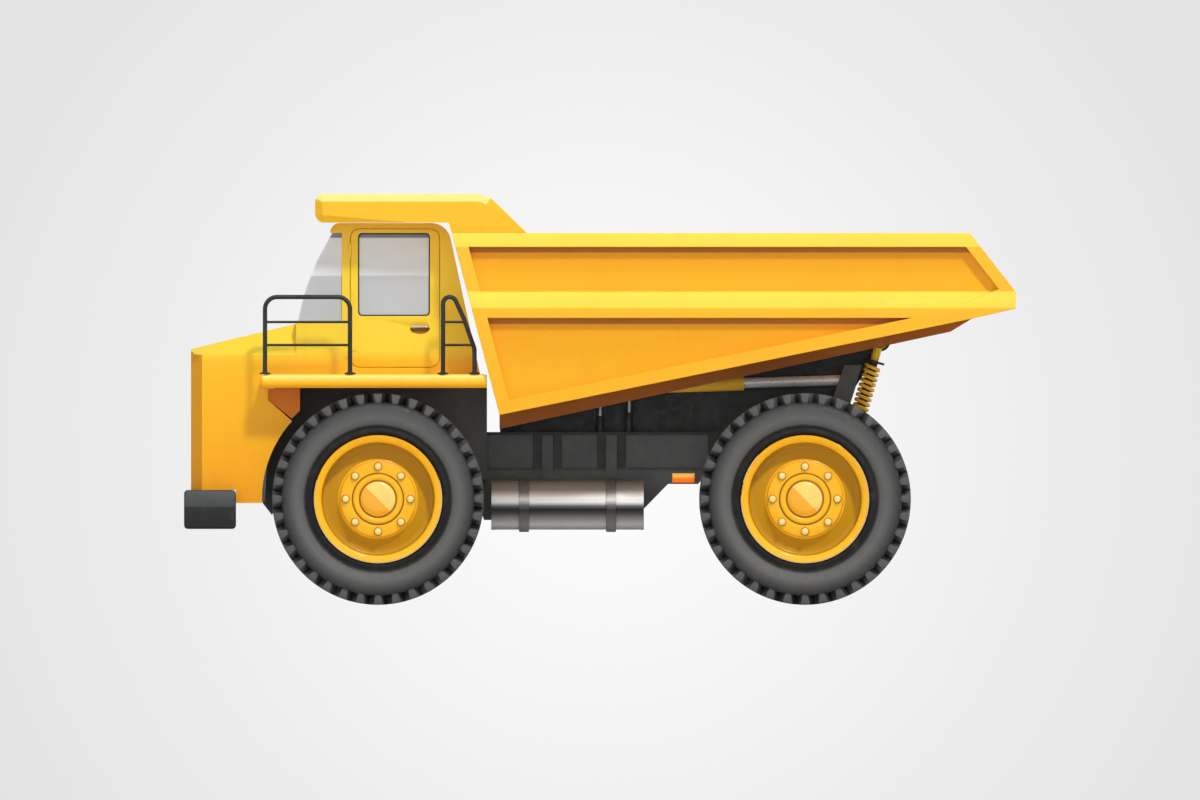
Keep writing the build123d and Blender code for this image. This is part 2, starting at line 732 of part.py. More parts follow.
def nose_section(x, inset):
    """Cross-section of the nose, narrower above the belt, taller towards the cab."""
    share = (nose_front_x - x) / (nose_front_x - nose_rear_x)
    top_z = nose_front_top_z + share * (nose_rear_top_z - nose_front_top_z) - inset
    side_y = nose_half_width - inset
    crown_y = side_y - nose_crown_inset
    belt_z = nose_belt_z - inset / 2
    low_z = nose_bottom_z - inset
    points = [(-side_y, low_z), (-side_y, belt_z), (-crown_y, top_z), (crown_y, top_z), (side_y, belt_z), (side_y, low_z)]
    return Plane(origin=(x, 0, 0), x_dir=(0, 1, 0), z_dir=(1, 0, 0)) * Polygon(*points, align=None)


def add_nose():
    """Hollow cowl with cut front corners, wheel arches, a grille opening and lamp pockets; then its fittings."""
    cowl = loft([nose_section(nose_front_x, 0), nose_section(nose_rear_x, 0)], ruled=True)
    cowl -= loft([nose_section(nose_front_x - nose_wall, nose_wall), nose_section(nose_rear_x + nose_wall, nose_wall)],
                 ruled=True)
    corner = extrude(Polygon((nose_front_x - nose_chamfer, nose_half_width + 1), (nose_front_x + 1, nose_half_width + 1),
                             (nose_front_x + 1, nose_half_width - nose_wall * 0.7), align=None), canopy_top_z)
    cowl -= Part() + both_sides(corner)
    cowl -= cross_cylinder(front_axle_x, axle_z, arch_radius, -bed_half_width, bed_half_width)
    notch_z = deck_low_z - arch_notch_drop
    notch = side_plate([(nose_rear_x - 1, axle_z), (nose_rear_x - 1, deck_low_z), (arch_notch_x, deck_low_z),
                        (arch_notch_x, notch_z), (arch_notch_x - arch_notch_run, notch_z - arch_notch_fall),
                        (arch_notch_x - arch_notch_run, axle_z)], -bed_half_width, bed_half_width)
    cowl -= notch
    cowl -= block(bumper_rear_x, bumper_front_x, -bumper_half_width, bumper_half_width, 0, rail_foot_z)
    face = nose_front_x + 1
    back = nose_front_x - nose_wall - 1
    cowl -= block(back, face, -grille_half_width, grille_half_width, grille_low_z, grille_high_z)
    lens = block(nose_front_x - nose_wall, nose_front_x - fitting_recess, lamp_y - lamp_width / 2,
                 lamp_y + lamp_width / 2, lamp_z - lamp_height / 2, lamp_z + lamp_height / 2)
    pocket = block(back, face, lamp_y - lamp_width / 2 - seat_gap, lamp_y + lamp_width / 2 + seat_gap,
                   lamp_z - lamp_height / 2 - seat_gap, lamp_z + lamp_height / 2 + seat_gap)
    cowl -= Part() + both_sides(pocket)
    nodes["nose_cowl"] = cowl
    nodes["headlamps"] = Compound(children=both_sides(lens))

    grille_y = grille_half_width - seat_gap
    grille_back = nose_front_x - fitting_recess - grille_depth
    grille = block(grille_back, nose_front_x - fitting_recess, -grille_y, grille_y, grille_low_z + seat_gap,
                   grille_high_z - seat_gap)
    pitch = (grille_high_z - grille_low_z - 2 * grille_border) / (grille_slots - 0.5)
    for index in range(grille_slots):
        low = grille_low_z + grille_border + pitch * index
        for side_low in (-grille_half_width + grille_border, grille_border / 2):
            grille -= block(back - grille_depth, face, side_low, side_low + grille_half_width - 1.5 * grille_border,
                            low, low + pitch / 2)
    nodes["grille"] = grille
    nodes["radiator"] = block(grille_back - radiator_depth, grille_back, -grille_y, grille_y, grille_low_z, grille_high_z)
    bumper = block(bumper_rear_x, bumper_front_x, -bumper_half_width, bumper_half_width, bumper_low_z, rail_foot_z)
    bumper = fillet(bumper.edges().filter_by(Axis.Y), bumper_edge)
    reach = bumper_half_width - bumper_end_slope
    end = extrude(Plane.YZ * Polygon((bumper_half_width + 1, rail_foot_z - bumper_end_height),
                                     (bumper_half_width + 1, rail_foot_z + 1), (reach, rail_foot_z + 1), align=None),
                  bumper_front_x + 1)
    nodes["front_bumper"] = bumper - (Part() + both_sides(end))


def add_wheel_wells():
    """Dark inner walls beside the engine, with the curved front lining of each arch."""
    arch_x = front_axle_x + arch_radius
    wall = side_plate([(deck_rear_x, rail_front_bottom_z), (deck_rear_x, deck_low_z), (arch_notch_x - 60, deck_low_z),
                       (arch_x - 5, nose_bottom_z), (arch_x - 100, nose_bottom_z - well_toe_drop),
                       (arch_x - well_toe_run, rail_front_bottom_z)], well_inner_y, well_outer_y)
    lining_y = nose_half_width - nose_wall
    lining = cross_cylinder(front_axle_x, axle_z, arch_radius + well_lining, well_inner_y, lining_y)
    lining -= cross_cylinder(front_axle_x, axle_z, arch_radius, 0, bed_half_width)
    lining &= block(arch_notch_x - arch_notch_run, nose_front_x, 0, bed_half_width, nose_bottom_z,
                    deck_low_z - arch_notch_drop - arch_notch_fall)
    foot_y = well_inner_y - rail_outer_y
    foot = block(deck_rear_x, deck_rear_x + well_foot_length, rail_outer_y, rail_outer_y + foot_y, rail_front_bottom_z, rail_top_z)
    nodes["wheel_wells"] = Compound(children=both_sides(wall + lining + foot))


def railing_tubes(path, rungs):
    """A bent tube along a path drawn in x and z, with its rungs."""
    line = Plane.XZ.offset(-railing_y) * path
    tube = sweep(Plane(origin=line @ 0, z_dir=line % 0) * Circle(railing_tube), path=line)
    for front, rear, z in rungs:
        tube += Pos((front + rear) / 2, railing_y, z) * Rot(0, 90, 0) * Cylinder(railing_rung, front - rear)
    return tube


def add_deck():
    """Platform beside and behind the nose, over the front wheels, with its tube railings."""
    deck = block(deck_rear_x, deck_front_x, -deck_half_width, deck_half_width, deck_low_z, deck_top_z)
    deck = fillet(deck.edges().filter_by(Axis.X), deck_edge)
    deck -= block(nose_rear_x, deck_front_x + 1, -nose_half_width, nose_half_width, deck_low_z - 1, deck_top_z + 1)
    nodes["deck"] = deck
    front, back = railing_front_xs
    loop = FilletPolyline((front, deck_top_z), (front, railing_top_z), (back, railing_top_z), (back, deck_top_z),
                          radius=railing_bend)
    tubes = both_sides(railing_tubes(loop, [(front, back, z) for z in railing_rung_zs]))
    front, back = railing_rear_xs
    loop = FilletPolyline((front, deck_top_z), (front, railing_top_z), (railing_rear_shoulder_x, railing_top_z),
                          (back, railing_rear_knee_z), (back, deck_top_z), radius=railing_bend / 2)
    lean = (railing_rear_shoulder_x - back) / (railing_top_z - railing_rear_knee_z)
    tubes += both_sides(railing_tubes(loop, [(front, back + lean * (z - railing_rear_knee_z), z)
                                             for z in railing_rung_zs]))
    nodes["handrails"] = Compound(children=tubes)


# Cab


def cab_profile(inset=0.0):
    """Side outline of the cab: upright front below, curved windscreen, rounded brow, flat roof, leaning back."""
    corner_x = cab_rear_foot_x + cab_rear_lean * (cab_roof_z - deck_top_z)
    back = FilletPolyline((cab_roof_front_x, cab_roof_z), (corner_x, cab_roof_z), (cab_rear_foot_x, deck_top_z),
                          radius=cab_corner)
    sill = Polyline((cab_rear_foot_x, deck_top_z), (nose_rear_x, deck_top_z), (nose_rear_x, windscreen_low_z))
    screen = ThreePointArc((nose_rear_x, windscreen_low_z), (windscreen_bulge_x, windscreen_bulge_z),
                           (cab_brow_x, cab_brow_z))
    middle = cab_brow_radius * math.sin(math.pi / 4)
    brow = ThreePointArc((cab_brow_x, cab_brow_z), (cab_roof_front_x + middle, cab_brow_z + middle),
                         (cab_roof_front_x, cab_roof_z))
    face = make_face(Curve() + [back, sill, screen, brow])
    if inset > 0:
        face = offset(face, amount=-inset, kind=Kind.ARC)
    return face


def window_hole(front_x, rear_x, y_low, y_high):
    return side_solid(fillet(side_sketch([(rear_x, window_low_z), (front_x, window_low_z), (front_x, window_high_z),
                                          (rear_x, window_high_z)]).vertices(), window_corner), y_low, y_high)


def add_cab():
    """Cab of panels that meet at their edges: side walls, roof, back, floor and front, with glass in between."""
    width = cab_left_y - cab_right_y
    ring = side_solid(cab_profile(), cab_right_y + cab_wall, cab_left_y - cab_wall)
    ring -= side_solid(cab_profile(cab_wall), cab_right_y, cab_left_y)
    floor_top = deck_top_z + cab_wall
    front = nose_rear_x + 1
    nodes["cab_floor"] = ring & block(0, front, cab_right_y, cab_left_y, 0, floor_top)
    nodes["cab_front_panel"] = ring & block(cab_brow_x, front, cab_right_y, cab_left_y, floor_top, windscreen_low_z)
    nodes["cab_roof"] = ring & block(0, front, cab_right_y, cab_left_y, cab_brow_z, cab_roof_z + 1)
    rear = ring & block(0, cab_roof_rear_x, cab_right_y, cab_left_y, floor_top, cab_brow_z)
    rear_hole = block(0, cab_roof_rear_x + 100, cab_right_y + rear_window_side, cab_left_y - rear_window_side,
                      rear_window_low_z, rear_window_high_z)
    nodes["cab_rear_wall"] = rear - rear_hole

    quarter = block(quarter_window_x, front, cab_right_y - 1, cab_left_y + 1, windscreen_low_z, cab_brow_z)
    left = side_solid(cab_profile(), cab_left_y - cab_wall, cab_left_y) - quarter
    opening = side_sketch([(door_rear_x, door_low_z), (door_front_x, door_low_z), (door_front_x, door_high_z),
                           (door_rear_x, door_high_z)], door_corner)
    left -= side_solid(opening, cab_left_y - cab_wall - 1, cab_left_y + 1)
    right = side_solid(cab_profile(), cab_right_y, cab_right_y + cab_wall) - quarter
    right -= window_hole(door_window_front_x, door_window_rear_x, cab_right_y - 1, cab_right_y + cab_wall + 1)

    leaf = side_solid(offset(opening, amount=-door_gap), cab_left_y - cab_wall, cab_left_y)
    leaf -= window_hole(door_window_front_x, door_window_rear_x, cab_left_y - cab_wall - 1, cab_left_y + 1)
    hinge_x = door_front_x
    for z in hinge_zs:
        lower = upright_cylinder(hinge_x, hinge_y, hinge_radius, z - hinge_length, z - seat_gap)
        lower += block(hinge_x, hinge_x + 60, cab_left_y - 1, hinge_y, z - hinge_length, z - seat_gap)
        left += lower
        upper = upright_cylinder(hinge_x, hinge_y, hinge_radius, z, z + hinge_length)
        upper += block(hinge_x - 70, hinge_x, cab_left_y + door_gap, hinge_y, z, z + hinge_length)
        upper += block(hinge_x - 70, hinge_x - 2 * door_gap, cab_left_y - 1, hinge_y, z, z + hinge_length)
        leaf += upper
    nodes["cab_left_wall"] = left
    nodes["cab_right_wall"] = right
    grip = Pos(handle_x, cab_left_y + handle_standoff, handle_z) * Rot(0, 90, 0) * Cylinder(handle_radius, handle_length)
    for end in (-1, 1):
        grip += cross_cylinder(handle_x + end * (handle_length / 2 - 2 * handle_radius), handle_z,
                               0.8 * handle_radius, cab_left_y, cab_left_y + handle_standoff)
    nodes["cab_door"] = leaf
    nodes["door_handle"] = grip

    pane_y = cab_wall / 2 + glass_thickness / 2
    pane = window_hole(door_window_front_x - seat_gap, door_window_rear_x + seat_gap, cab_left_y - pane_y,
                       cab_left_y - pane_y + glass_thickness)
    nodes["door_glass"] = pane & block(0, front, 0, cab_left_y, window_low_z + seat_gap, window_high_z - seat_gap)
    panes = []
    screen = side_solid(cab_profile(glass_inset), cab_right_y + glass_inset, cab_left_y - glass_inset)
    screen -= side_solid(cab_profile(glass_inset + glass_thickness), cab_right_y, cab_left_y)
    panes.append(screen & block(cab_roof_front_x, front, cab_right_y, cab_left_y, windscreen_low_z, cab_brow_z))
    side_glass = side_solid(cab_profile(glass_inset + glass_thickness + seat_gap), cab_left_y - pane_y,
                            cab_left_y - pane_y + glass_thickness)
    side_glass &= block(quarter_window_x, front, 0, cab_left_y, windscreen_low_z, cab_brow_z)
    panes += [side_glass, Pos(0, cab_right_y - cab_left_y + 2 * pane_y - glass_thickness, 0) * side_glass]
    panes.append(Pos(0, cab_right_y - cab_left_y + 2 * pane_y - glass_thickness, 0) * nodes["door_glass"])
    back = side_solid(cab_profile(glass_inset), cab_right_y + rear_window_side + seat_gap,
                      cab_left_y - rear_window_side - seat_gap)
    back -= side_solid(cab_profile(glass_inset + glass_thickness), cab_right_y, cab_left_y)
    panes.append(back & block(0, cab_roof_rear_x, cab_right_y, cab_left_y, rear_window_low_z + seat_gap,
                              rear_window_high_z - seat_gap))
    nodes["cab_glass"] = Compound(children=panes)


def add_cab_inside():
    """Driver's seat on its pedestal, and the console with the steering wheel."""
    floor_top = deck_top_z + cab_wall
    cushion_top = floor_top + seat_base_height + seat_cushion
    rear_x = seat_x - seat_length / 2
    half_seat = seat_width / 2
    half_base = seat_base_width / 2
    seat = block(rear_x, rear_x + seat_length, seat_y - half_seat, seat_y + half_seat, floor_top + seat_base_height,
                 cushion_top)
    seat = fillet(seat.edges().filter_by(Axis.Y), seat_edge)
    back = side_plate([(rear_x, cushion_top - seat_edge), (rear_x + seat_back_thickness, cushion_top - seat_edge),
                       (rear_x + seat_back_thickness - seat_back_lean, cushion_top + seat_back_height),
                       (rear_x - seat_back_lean, cushion_top + seat_back_height)], seat_y - 0.92 * half_seat,
                      seat_y + 0.92 * half_seat)
    base = block(seat_x - half_base, seat_x + half_base, seat_y - half_base, seat_y + half_base, floor_top,
                 floor_top + seat_base_height + 1)
    nodes["driver_seat"] = seat + back + base
    inner = nose_rear_x - cab_wall
    dash_top = Vector(inner - dash_depth, seat_y, windscreen_low_z - dash_drop)
    dash_lip = dash_top + Vector(-dash_lean, 0, -dash_face)
    console = side_plate([(inner, floor_top), (inner, dash_top.Z), (dash_top.X, dash_top.Z), (dash_lip.X, dash_lip.Z),
                          (inner - 0.7 * dash_depth, floor_top)], cab_right_y + cab_wall + dash_drop,
                         cab_left_y - cab_wall - dash_drop)
    nodes["dashboard"] = console
    face = Plane(origin=(dash_top + dash_lip) / 2, x_dir=(0, 1, 0), z_dir=(-dash_face, 0, dash_lean))
    wheel = face * Pos(0, 0, column_length) * Torus(wheel_ring_radius, wheel_ring_tube)
    wheel += face * Pos(0, 0, column_length / 2) * Cylinder(column_radius, column_length)
    wheel += face * Pos(0, 0, column_length) * Box(2 * wheel_ring_radius, column_radius, wheel_ring_tube)
    nodes["steering_wheel"] = wheel


# Bed


def bed_side_outline():
    """Side of the bed: leaning front, level top, tail that rises to a raked end, and the sloped lower edge."""
    return [(bed_front_foot_x, flange_z(bed_front_foot_x)), (bed_flange_break_x, flange_z(bed_flange_break_x)),
            (bed_tail_x, bed_tail_low_z), (bed_tail_x, bed_tail_high_z), (bed_tail_top_x, bed_top_z),
            (bed_front_x(bed_top_z), bed_top_z)]


def add_bed_sides():
    """Each side is a plate with a raised border, a top rail and a middle rail whose upper face slopes."""
    outer = bed_half_width
    panel = outer - bed_panel_depth
    side = side_plate(bed_side_outline(), panel - bed_wall, outer)
    rail_low = bed_top_z - top_rail_height
    rake = (bed_tail_top_x - bed_tail_x) / (bed_top_z - bed_tail_high_z)

    def tail_x(z):
        return bed_tail_top_x - rake * (bed_top_z - z) + tail_band

    def post_x(z):
        return bed_front_x(z) - corner_post_width

    upper = side_plate([(post_x(rail_low), rail_low), (tail_x(rail_low), rail_low),
                        (tail_x(mid_rail_top_z), mid_rail_top_z), (bed_flange_break_x + 210, mid_rail_nose_z),
                        (post_x(mid_rail_nose_z), mid_rail_nose_z)], panel, outer + 1)
    low_z = flange_at_middle + flange_height
    tip_x = (low_z - mid_rail_low_z) / floor_slope
    foot_x = front_meets(low_z, corner_post_width)
    lower = side_plate([(post_x(mid_rail_low_z), mid_rail_low_z), (tip_x, mid_rail_low_z),
                        (foot_x, low_z - floor_slope * foot_x)], panel, outer + 1)
    slope = Plane.YZ * Polygon((panel - 1, mid_rail_nose_z), (outer, mid_rail_nose_z), (panel, mid_rail_top_z),
                               (panel - 1, mid_rail_top_z), align=None)
    wedge = extrude(slope, -bed_tail_x, both=True) & upper
    side = side - upper - lower + wedge
    nodes["bed_left_side"], nodes["bed_right_side"] = both_sides(side)


def add_bed_body():
    """Sloped floor and leaning front wall between the sides, and the canopy over the cab."""
    inner = bed_half_width - bed_panel_depth - bed_wall
    foot_x = front_meets(floor_under_z(0), 0)
    heel_x = front_meets(floor_under_z(0), front_wall_thickness)
    front_wall = side_plate([
        (foot_x, floor_under_z(foot_x)), (heel_x, floor_under_z(heel_x)),
        (bed_front_x(canopy_top_z - canopy_plate) - front_wall_thickness, canopy_top_z - canopy_plate),
        (bed_front_x(canopy_top_z - canopy_plate), canopy_top_z - canopy_plate)], -inner, inner)
    floor = side_plate([(bed_front_foot_x, floor_under_z(bed_front_foot_x)), (bed_tail_x, floor_under_z(bed_tail_x)),
                        (bed_tail_x, floor_under_z(bed_tail_x) + floor_thickness),
                        (bed_front_foot_x + 100, floor_under_z(bed_front_foot_x + 100) + floor_thickness)], -inner, inner)
    behind = side_plate([(bed_front_x(0) - front_wall_thickness, 0), (bed_tail_x - 1, 0), (bed_tail_x - 1, canopy_top_z),
                         (bed_front_x(canopy_top_z) - front_wall_thickness, canopy_top_z)], -inner - 1, inner + 1)
    nodes["bed_floor"] = floor & behind
    nodes["bed_front_wall"] = front_wall

    skirt_out = bed_half_width - bed_panel_depth
    front_at_low = bed_front_x(canopy_low_z)
    outline = side_sketch([(canopy_front_x, canopy_low_z), (canopy_front_x, canopy_top_z), (canopy_break_x, canopy_top_z),
                           (canopy_foot_x, bed_top_z), (bed_front_x(bed_top_z), bed_top_z), (front_at_low, canopy_low_z)])
    outline = fillet(outline.vertices().group_by(Axis.X)[-1], canopy_corner)
    outline = fillet(outline.vertices().group_by(Axis.Y)[-1].sort_by(Axis.X)[0], canopy_bend)
    canopy = side_solid(outline, -skirt_out, skirt_out)
    bevel = extrude(Plane.YZ * Polygon((skirt_out - canopy_edge - 1, canopy_top_z + 1), (skirt_out + 1, canopy_top_z + 1),
                                       (skirt_out + 1, canopy_top_z - canopy_edge - 1), align=None), canopy_front_x + 1)
    canopy -= Part() + both_sides(bevel)
    hollow = side_plate([(canopy_front_x - canopy_plate, bed_top_z - 1),
                         (canopy_front_x - canopy_plate, canopy_top_z - canopy_plate),
                         (canopy_break_x + 0.4 * canopy_plate, canopy_top_z - canopy_plate),
                         (canopy_foot_x + 1.4 * canopy_plate, bed_top_z - 1)], -inner, inner)
    nodes["bed_canopy"] = canopy - hollow


def add_bed_sills():
    """Two deep sills under the floor, bored for the pivot pin, with rest pads and the ears of the hoists."""
    sill = side_plate([
        (bed_front_foot_x, floor_under_z(bed_front_foot_x)), (bed_front_foot_x, belly_z(bed_front_foot_x)),
        (sill_rear_x, belly_z(sill_rear_x)), (bed_flange_break_x, flange_z(bed_flange_break_x)),
        (bed_flange_break_x, floor_under_z(bed_flange_break_x))], sill_inner_y, sill_outer_y)
    sill += cross_cylinder(bed_pivot_x, bed_pivot_z, sill_boss_radius, sill_inner_y, sill_outer_y)
    sill -= cross_cylinder(bed_pivot_x, bed_pivot_z, pivot_pin_radius + pin_gap, 0, bed_half_width)
    for x in post_xs:
        pad_z = belly_z(x) + post_seat_rise + rest_gap
        sill += side_plate([(x + 60, pad_z), (x - 60, pad_z), (x - 60, floor_under_z(x - 60)),
                            (x + 60, floor_under_z(x + 60))], front_strut_y - 60, sill_inner_y + 1)
    ears = []
    inner_ear = hoist_y - hoist_eye_width / 2 - hoist_ear_gap
    outer_ear = hoist_y + hoist_eye_width / 2 + hoist_ear_gap
    for low in (inner_ear - hoist_ear_thickness, outer_ear):
        ears.append(side_plate([
            (hoist_front_x + 110, floor_under_z(hoist_front_x + 110)), (hoist_front_x + 45, hoist_front_z - 60),
            (hoist_front_x - 45, hoist_front_z - 60), (hoist_front_x - 110, floor_under_z(hoist_front_x - 110))],
            low, low + hoist_ear_thickness))
    pin = cross_cylinder(hoist_front_x, hoist_front_z, hoist_pin_radius, inner_ear - 1, outer_ear + 1)
    hanger = ears[0] + ears[1] + pin
    nodes["bed_sills"] = Compound(children=both_sides(sill) + both_sides(hanger))


# Hoist cylinders


def add_hoists():
    """A barrel that hangs from the bed and a rod that runs in it to the ear on the frame."""
    axis = Vector(hoist_rear_x - hoist_front_x, 0, hoist_rear_z - hoist_front_z)
    for name, side in (("left", 1), ("right", -1)):
        y = side * hoist_y
        low, high = y - hoist_eye_width / 2, y + hoist_eye_width / 2
        line = Plane(origin=(hoist_front_x, y, hoist_front_z), x_dir=(0, 1, 0), z_dir=axis)
        barrel = line * Pos(0, 0, (barrel_end_wall + barrel_length) / 2) * Cylinder(
            barrel_radius, barrel_length - barrel_end_wall)
        barrel += cross_cylinder(hoist_front_x, hoist_front_z, hoist_eye_radius, low, high)
        rod_start = axis.length - (axis.length - barrel_length) - hoist_rod_inside
        bore_start = rod_start - barrel_end_wall / 2
        barrel -= line * Pos(0, 0, (bore_start + barrel_length + 1) / 2) * Cylinder(
            hoist_rod_radius + hoist_rod_gap, barrel_length + 1 - bore_start)
        barrel -= cross_cylinder(hoist_front_x, hoist_front_z, hoist_pin_radius + pin_gap, low - 1, high + 1)
        nodes["hoist_barrel_" + name] = barrel
        rod = line * Pos(0, 0, (rod_start + axis.length) / 2) * Cylinder(hoist_rod_radius, axis.length - rod_start)
        rod += cross_cylinder(hoist_rear_x, hoist_rear_z, rod_eye_radius, low, high)
        nodes["hoist_rod_" + name] = rod


for add in (add_wheels, add_front_axle, add_frame, add_axle_supports, add_tanks, add_nose, add_wheel_wells, add_deck,
            add_cab, add_cab_inside, add_bed_sides, add_bed_body, add_bed_sills, add_hoists):
    add()

os.makedirs("parts", exist_ok=True)
for node_name, shape in nodes.items():
    export_step(shape, f"parts/{node_name}.step")
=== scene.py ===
# %% [markdown]
# # A rigid dump truck, dressed in Blender
# The shapes, sizes and joints of this truck come from a CAD model that is already packed. Here it is loaded
# as a fixed frame and then dressed: edges get a radius, tyres get lugs, springs get wire, and every surface
# gets a finish. All is in metres, +X forward, +Y to the driver's left, +Z up, and the ground is at zero. Each
# step says what the piece is on the real truck, how it could be made, and why it is made this way.

# %% Load the frame
import json
import math

import bmesh
import bpy
from mathutils import Matrix, Vector


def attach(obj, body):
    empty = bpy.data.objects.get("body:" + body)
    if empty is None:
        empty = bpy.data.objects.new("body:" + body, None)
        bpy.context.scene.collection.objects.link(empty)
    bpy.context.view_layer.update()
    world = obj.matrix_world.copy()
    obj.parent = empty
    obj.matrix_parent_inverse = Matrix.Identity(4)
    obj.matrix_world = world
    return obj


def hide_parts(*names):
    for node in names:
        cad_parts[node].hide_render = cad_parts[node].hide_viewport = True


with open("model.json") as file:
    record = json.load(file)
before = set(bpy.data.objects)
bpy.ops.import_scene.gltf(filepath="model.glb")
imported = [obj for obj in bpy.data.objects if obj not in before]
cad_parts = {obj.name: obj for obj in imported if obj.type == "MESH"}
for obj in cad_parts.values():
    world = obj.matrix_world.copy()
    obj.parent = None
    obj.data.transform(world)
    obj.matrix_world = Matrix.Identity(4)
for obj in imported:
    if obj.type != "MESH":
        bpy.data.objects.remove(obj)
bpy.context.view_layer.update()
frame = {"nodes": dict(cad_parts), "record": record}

scene = bpy.context.scene
scene.view_settings.view_transform = "Standard"

# %% [markdown]
# ## Camera
# The picture that the truck follows is a side elevation without perspective. An orthographic camera gives the
# same: its scale is the width of the view in metres, so one metre is as long at the front wheel as at the far
# rail.

# %% Camera
view_width = 12.0
view_height_z = 2.05
camera_distance = 30
camera_data = bpy.data.cameras.new("side_camera")
camera_data.type = "ORTHO"
camera_data.ortho_scale = view_width
camera_data.clip_end = 10 * camera_distance
camera = bpy.data.objects.new("side_camera", camera_data)
camera.location = (0, camera_distance, view_height_z)
camera.rotation_euler = (math.radians(90), 0, math.radians(180))
scene.collection.objects.link(camera)
scene.camera = camera
print("camera: orthographic,", view_width, "m wide")

# %% [markdown]
# ## Places that several steps share
# These few follow the CAD model: where the wheels stand, how high the deck lies and where the door's skin is.
# A piece that is built in its place needs no move of its own, which upright stands for.

# %% Places that several steps share
front_x, rear_x, hub_z = 2.22, -2.05, 1.06
deck_top = 2.31
door_face = 1.5
upright = Matrix.Identity(4)
print("wheelbase:", round(front_x - rear_x, 2), "m")

# %% [markdown]
# ## Node helpers
# A finish is a tree of shader nodes. Written out in full, each tree takes pages, so these few helpers add a
# node, join two sockets, and make the patterns that every finish here is built from: noise, ramps and mixes.
# Apart from the rings of the wheels, patterns read Object coordinates. The truck's pieces sit at the origin
# with their place in the mesh, so a pattern runs on from one panel to the next as dust on a real machine does.

# %% Node helpers
def srgb(red, green, blue):
    """A colour written as 0 to 255, in the linear values that shaders use."""
    def linear(channel):
        share = channel / 255
        return share / 12.92 if share <= 0.04045 else ((share + 0.055) / 1.055) ** 2.4
    return (linear(red), linear(green), linear(blue), 1.0)


class Finish:
    """One material on its way: its tree, its shader and short ways to add nodes."""

    def __init__(self, name, **values):
        self.material = bpy.data.materials.new(name)
        self.material.use_nodes = True
        self.tree = self.material.node_tree
        self.shader = self.tree.nodes["Principled BSDF"]
        for label, value in values.items():
            self.shader.inputs[label.replace("_", " ")].default_value = value
        self.place = self.node("ShaderNodeTexCoord").outputs["Object"]

    def node(self, kind, **settings):
        made = self.tree.nodes.new(kind)
        for label, value in settings.items():
            setattr(made, label, value)
        return made

    def feed(self, socket, value):
        if isinstance(value, bpy.types.NodeSocket):
            self.tree.links.new(value, socket)
        else:
            socket.default_value = value

    def noise(self, scale, detail=3.0, roughness=0.55, stretch=(1, 1, 1)):
        spread = self.node("ShaderNodeMapping")
        spread.inputs["Scale"].default_value = stretch
        self.feed(spread.inputs["Vector"], self.place)
        made = self.node("ShaderNodeTexNoise")
        self.feed(made.inputs["Vector"], spread.outputs["Vector"])
        made.inputs["Scale"].default_value = scale
        made.inputs["Detail"].default_value = detail
        made.inputs["Roughness"].default_value = roughness
        return made.outputs["Fac"]

    def axis(self, letter):
        parts = self.node("ShaderNodeSeparateXYZ")
        self.feed(parts.inputs[0], self.place)
        return parts.outputs[letter]

    def span(self, value, low, high, to_low=0.0, to_high=1.0, smooth=True):
        made = self.node("ShaderNodeMapRange", interpolation_type="SMOOTHSTEP" if smooth else "LINEAR")
        self.feed(made.inputs["Value"], value)
        for label, number in (("From Min", low), ("From Max", high), ("To Min", to_low), ("To Max", to_high)):
            made.inputs[label].default_value = number
        return made.outputs["Result"]

    def math(self, operation, first, second=0.0):
        made = self.node("ShaderNodeMath", operation=operation)
        self.feed(made.inputs[0], first)
        self.feed(made.inputs[1], second)
        return made.outputs[0]

    def ramp(self, share, stops):
        made = self.node("ShaderNodeValToRGB")
        ramp = made.color_ramp
        while len(ramp.elements) < len(stops):
            ramp.elements.new(0.5)
        for element, (place, colour) in zip(ramp.elements, stops):
            element.position = place
            element.color = colour
        self.feed(made.inputs["Fac"], share)
        return made.outputs["Color"]

    def mix(self, share, first, second):
        made = self.node("ShaderNodeMix", data_type="RGBA")
        self.feed(made.inputs[0], share)
        self.feed(made.inputs[6], first)
        self.feed(made.inputs[7], second)
        return made.outputs[2]

    def colour(self, value):
        self.feed(self.shader.inputs["Base Color"], value)

    def rough(self, value):
        self.feed(self.shader.inputs["Roughness"], value)

    def bump(self, height, distance, strength=1.0):
        made = self.node("ShaderNodeBump")
        made.inputs["Distance"].default_value = distance
        made.inputs["Strength"].default_value = strength
        self.feed(made.inputs["Height"], height)
        before = self.shader.inputs["Normal"].links
        if before:
            self.feed(made.inputs["Normal"], before[0].from_socket)
        self.feed(self.shader.inputs["Normal"], made.outputs["Normal"])

    def clear(self):
        return self.node("ShaderNodeBsdfTransparent").outputs[0]

    def choose(self, share, first, second):
        """Show the first shader where the share is 0 and the second where it is 1."""
        choice = self.node("ShaderNodeMixShader")
        for socket, value in zip(choice.inputs, (share, first, second)):
            self.feed(socket, value)
        self.feed(self.tree.nodes["Material Output"].inputs["Surface"], choice.outputs[0])


finishes = {}
print("node helpers ready")

# %% [markdown]
# ## Mesh helpers
# Most pieces that are built here are loops of points with faces between them. These helpers make the faces
# and turn the result into a mesh with its coats and its smooth shading.

# %% Mesh helpers
def smooth(mesh, angle=35):
    mesh.polygons.foreach_set("use_smooth", [True] * len(mesh.polygons))
    mesh.set_sharp_from_angle(angle=math.radians(angle))
    mesh.update()


def bridge(bm, near, far):
    """Faces between two loops of points. A loop may also be a single point."""
    count = max(len(near), len(far))
    facets = []
    for index in range(count):
        after = (index + 1) % count
        first_edge = [near[index % len(near)], near[after % len(near)]]
        corners = list(dict.fromkeys(first_edge + [far[after % len(far)], far[index % len(far)]]))
        if len(corners) > 2:
            facets.append(bm.faces.new(corners))
    return facets


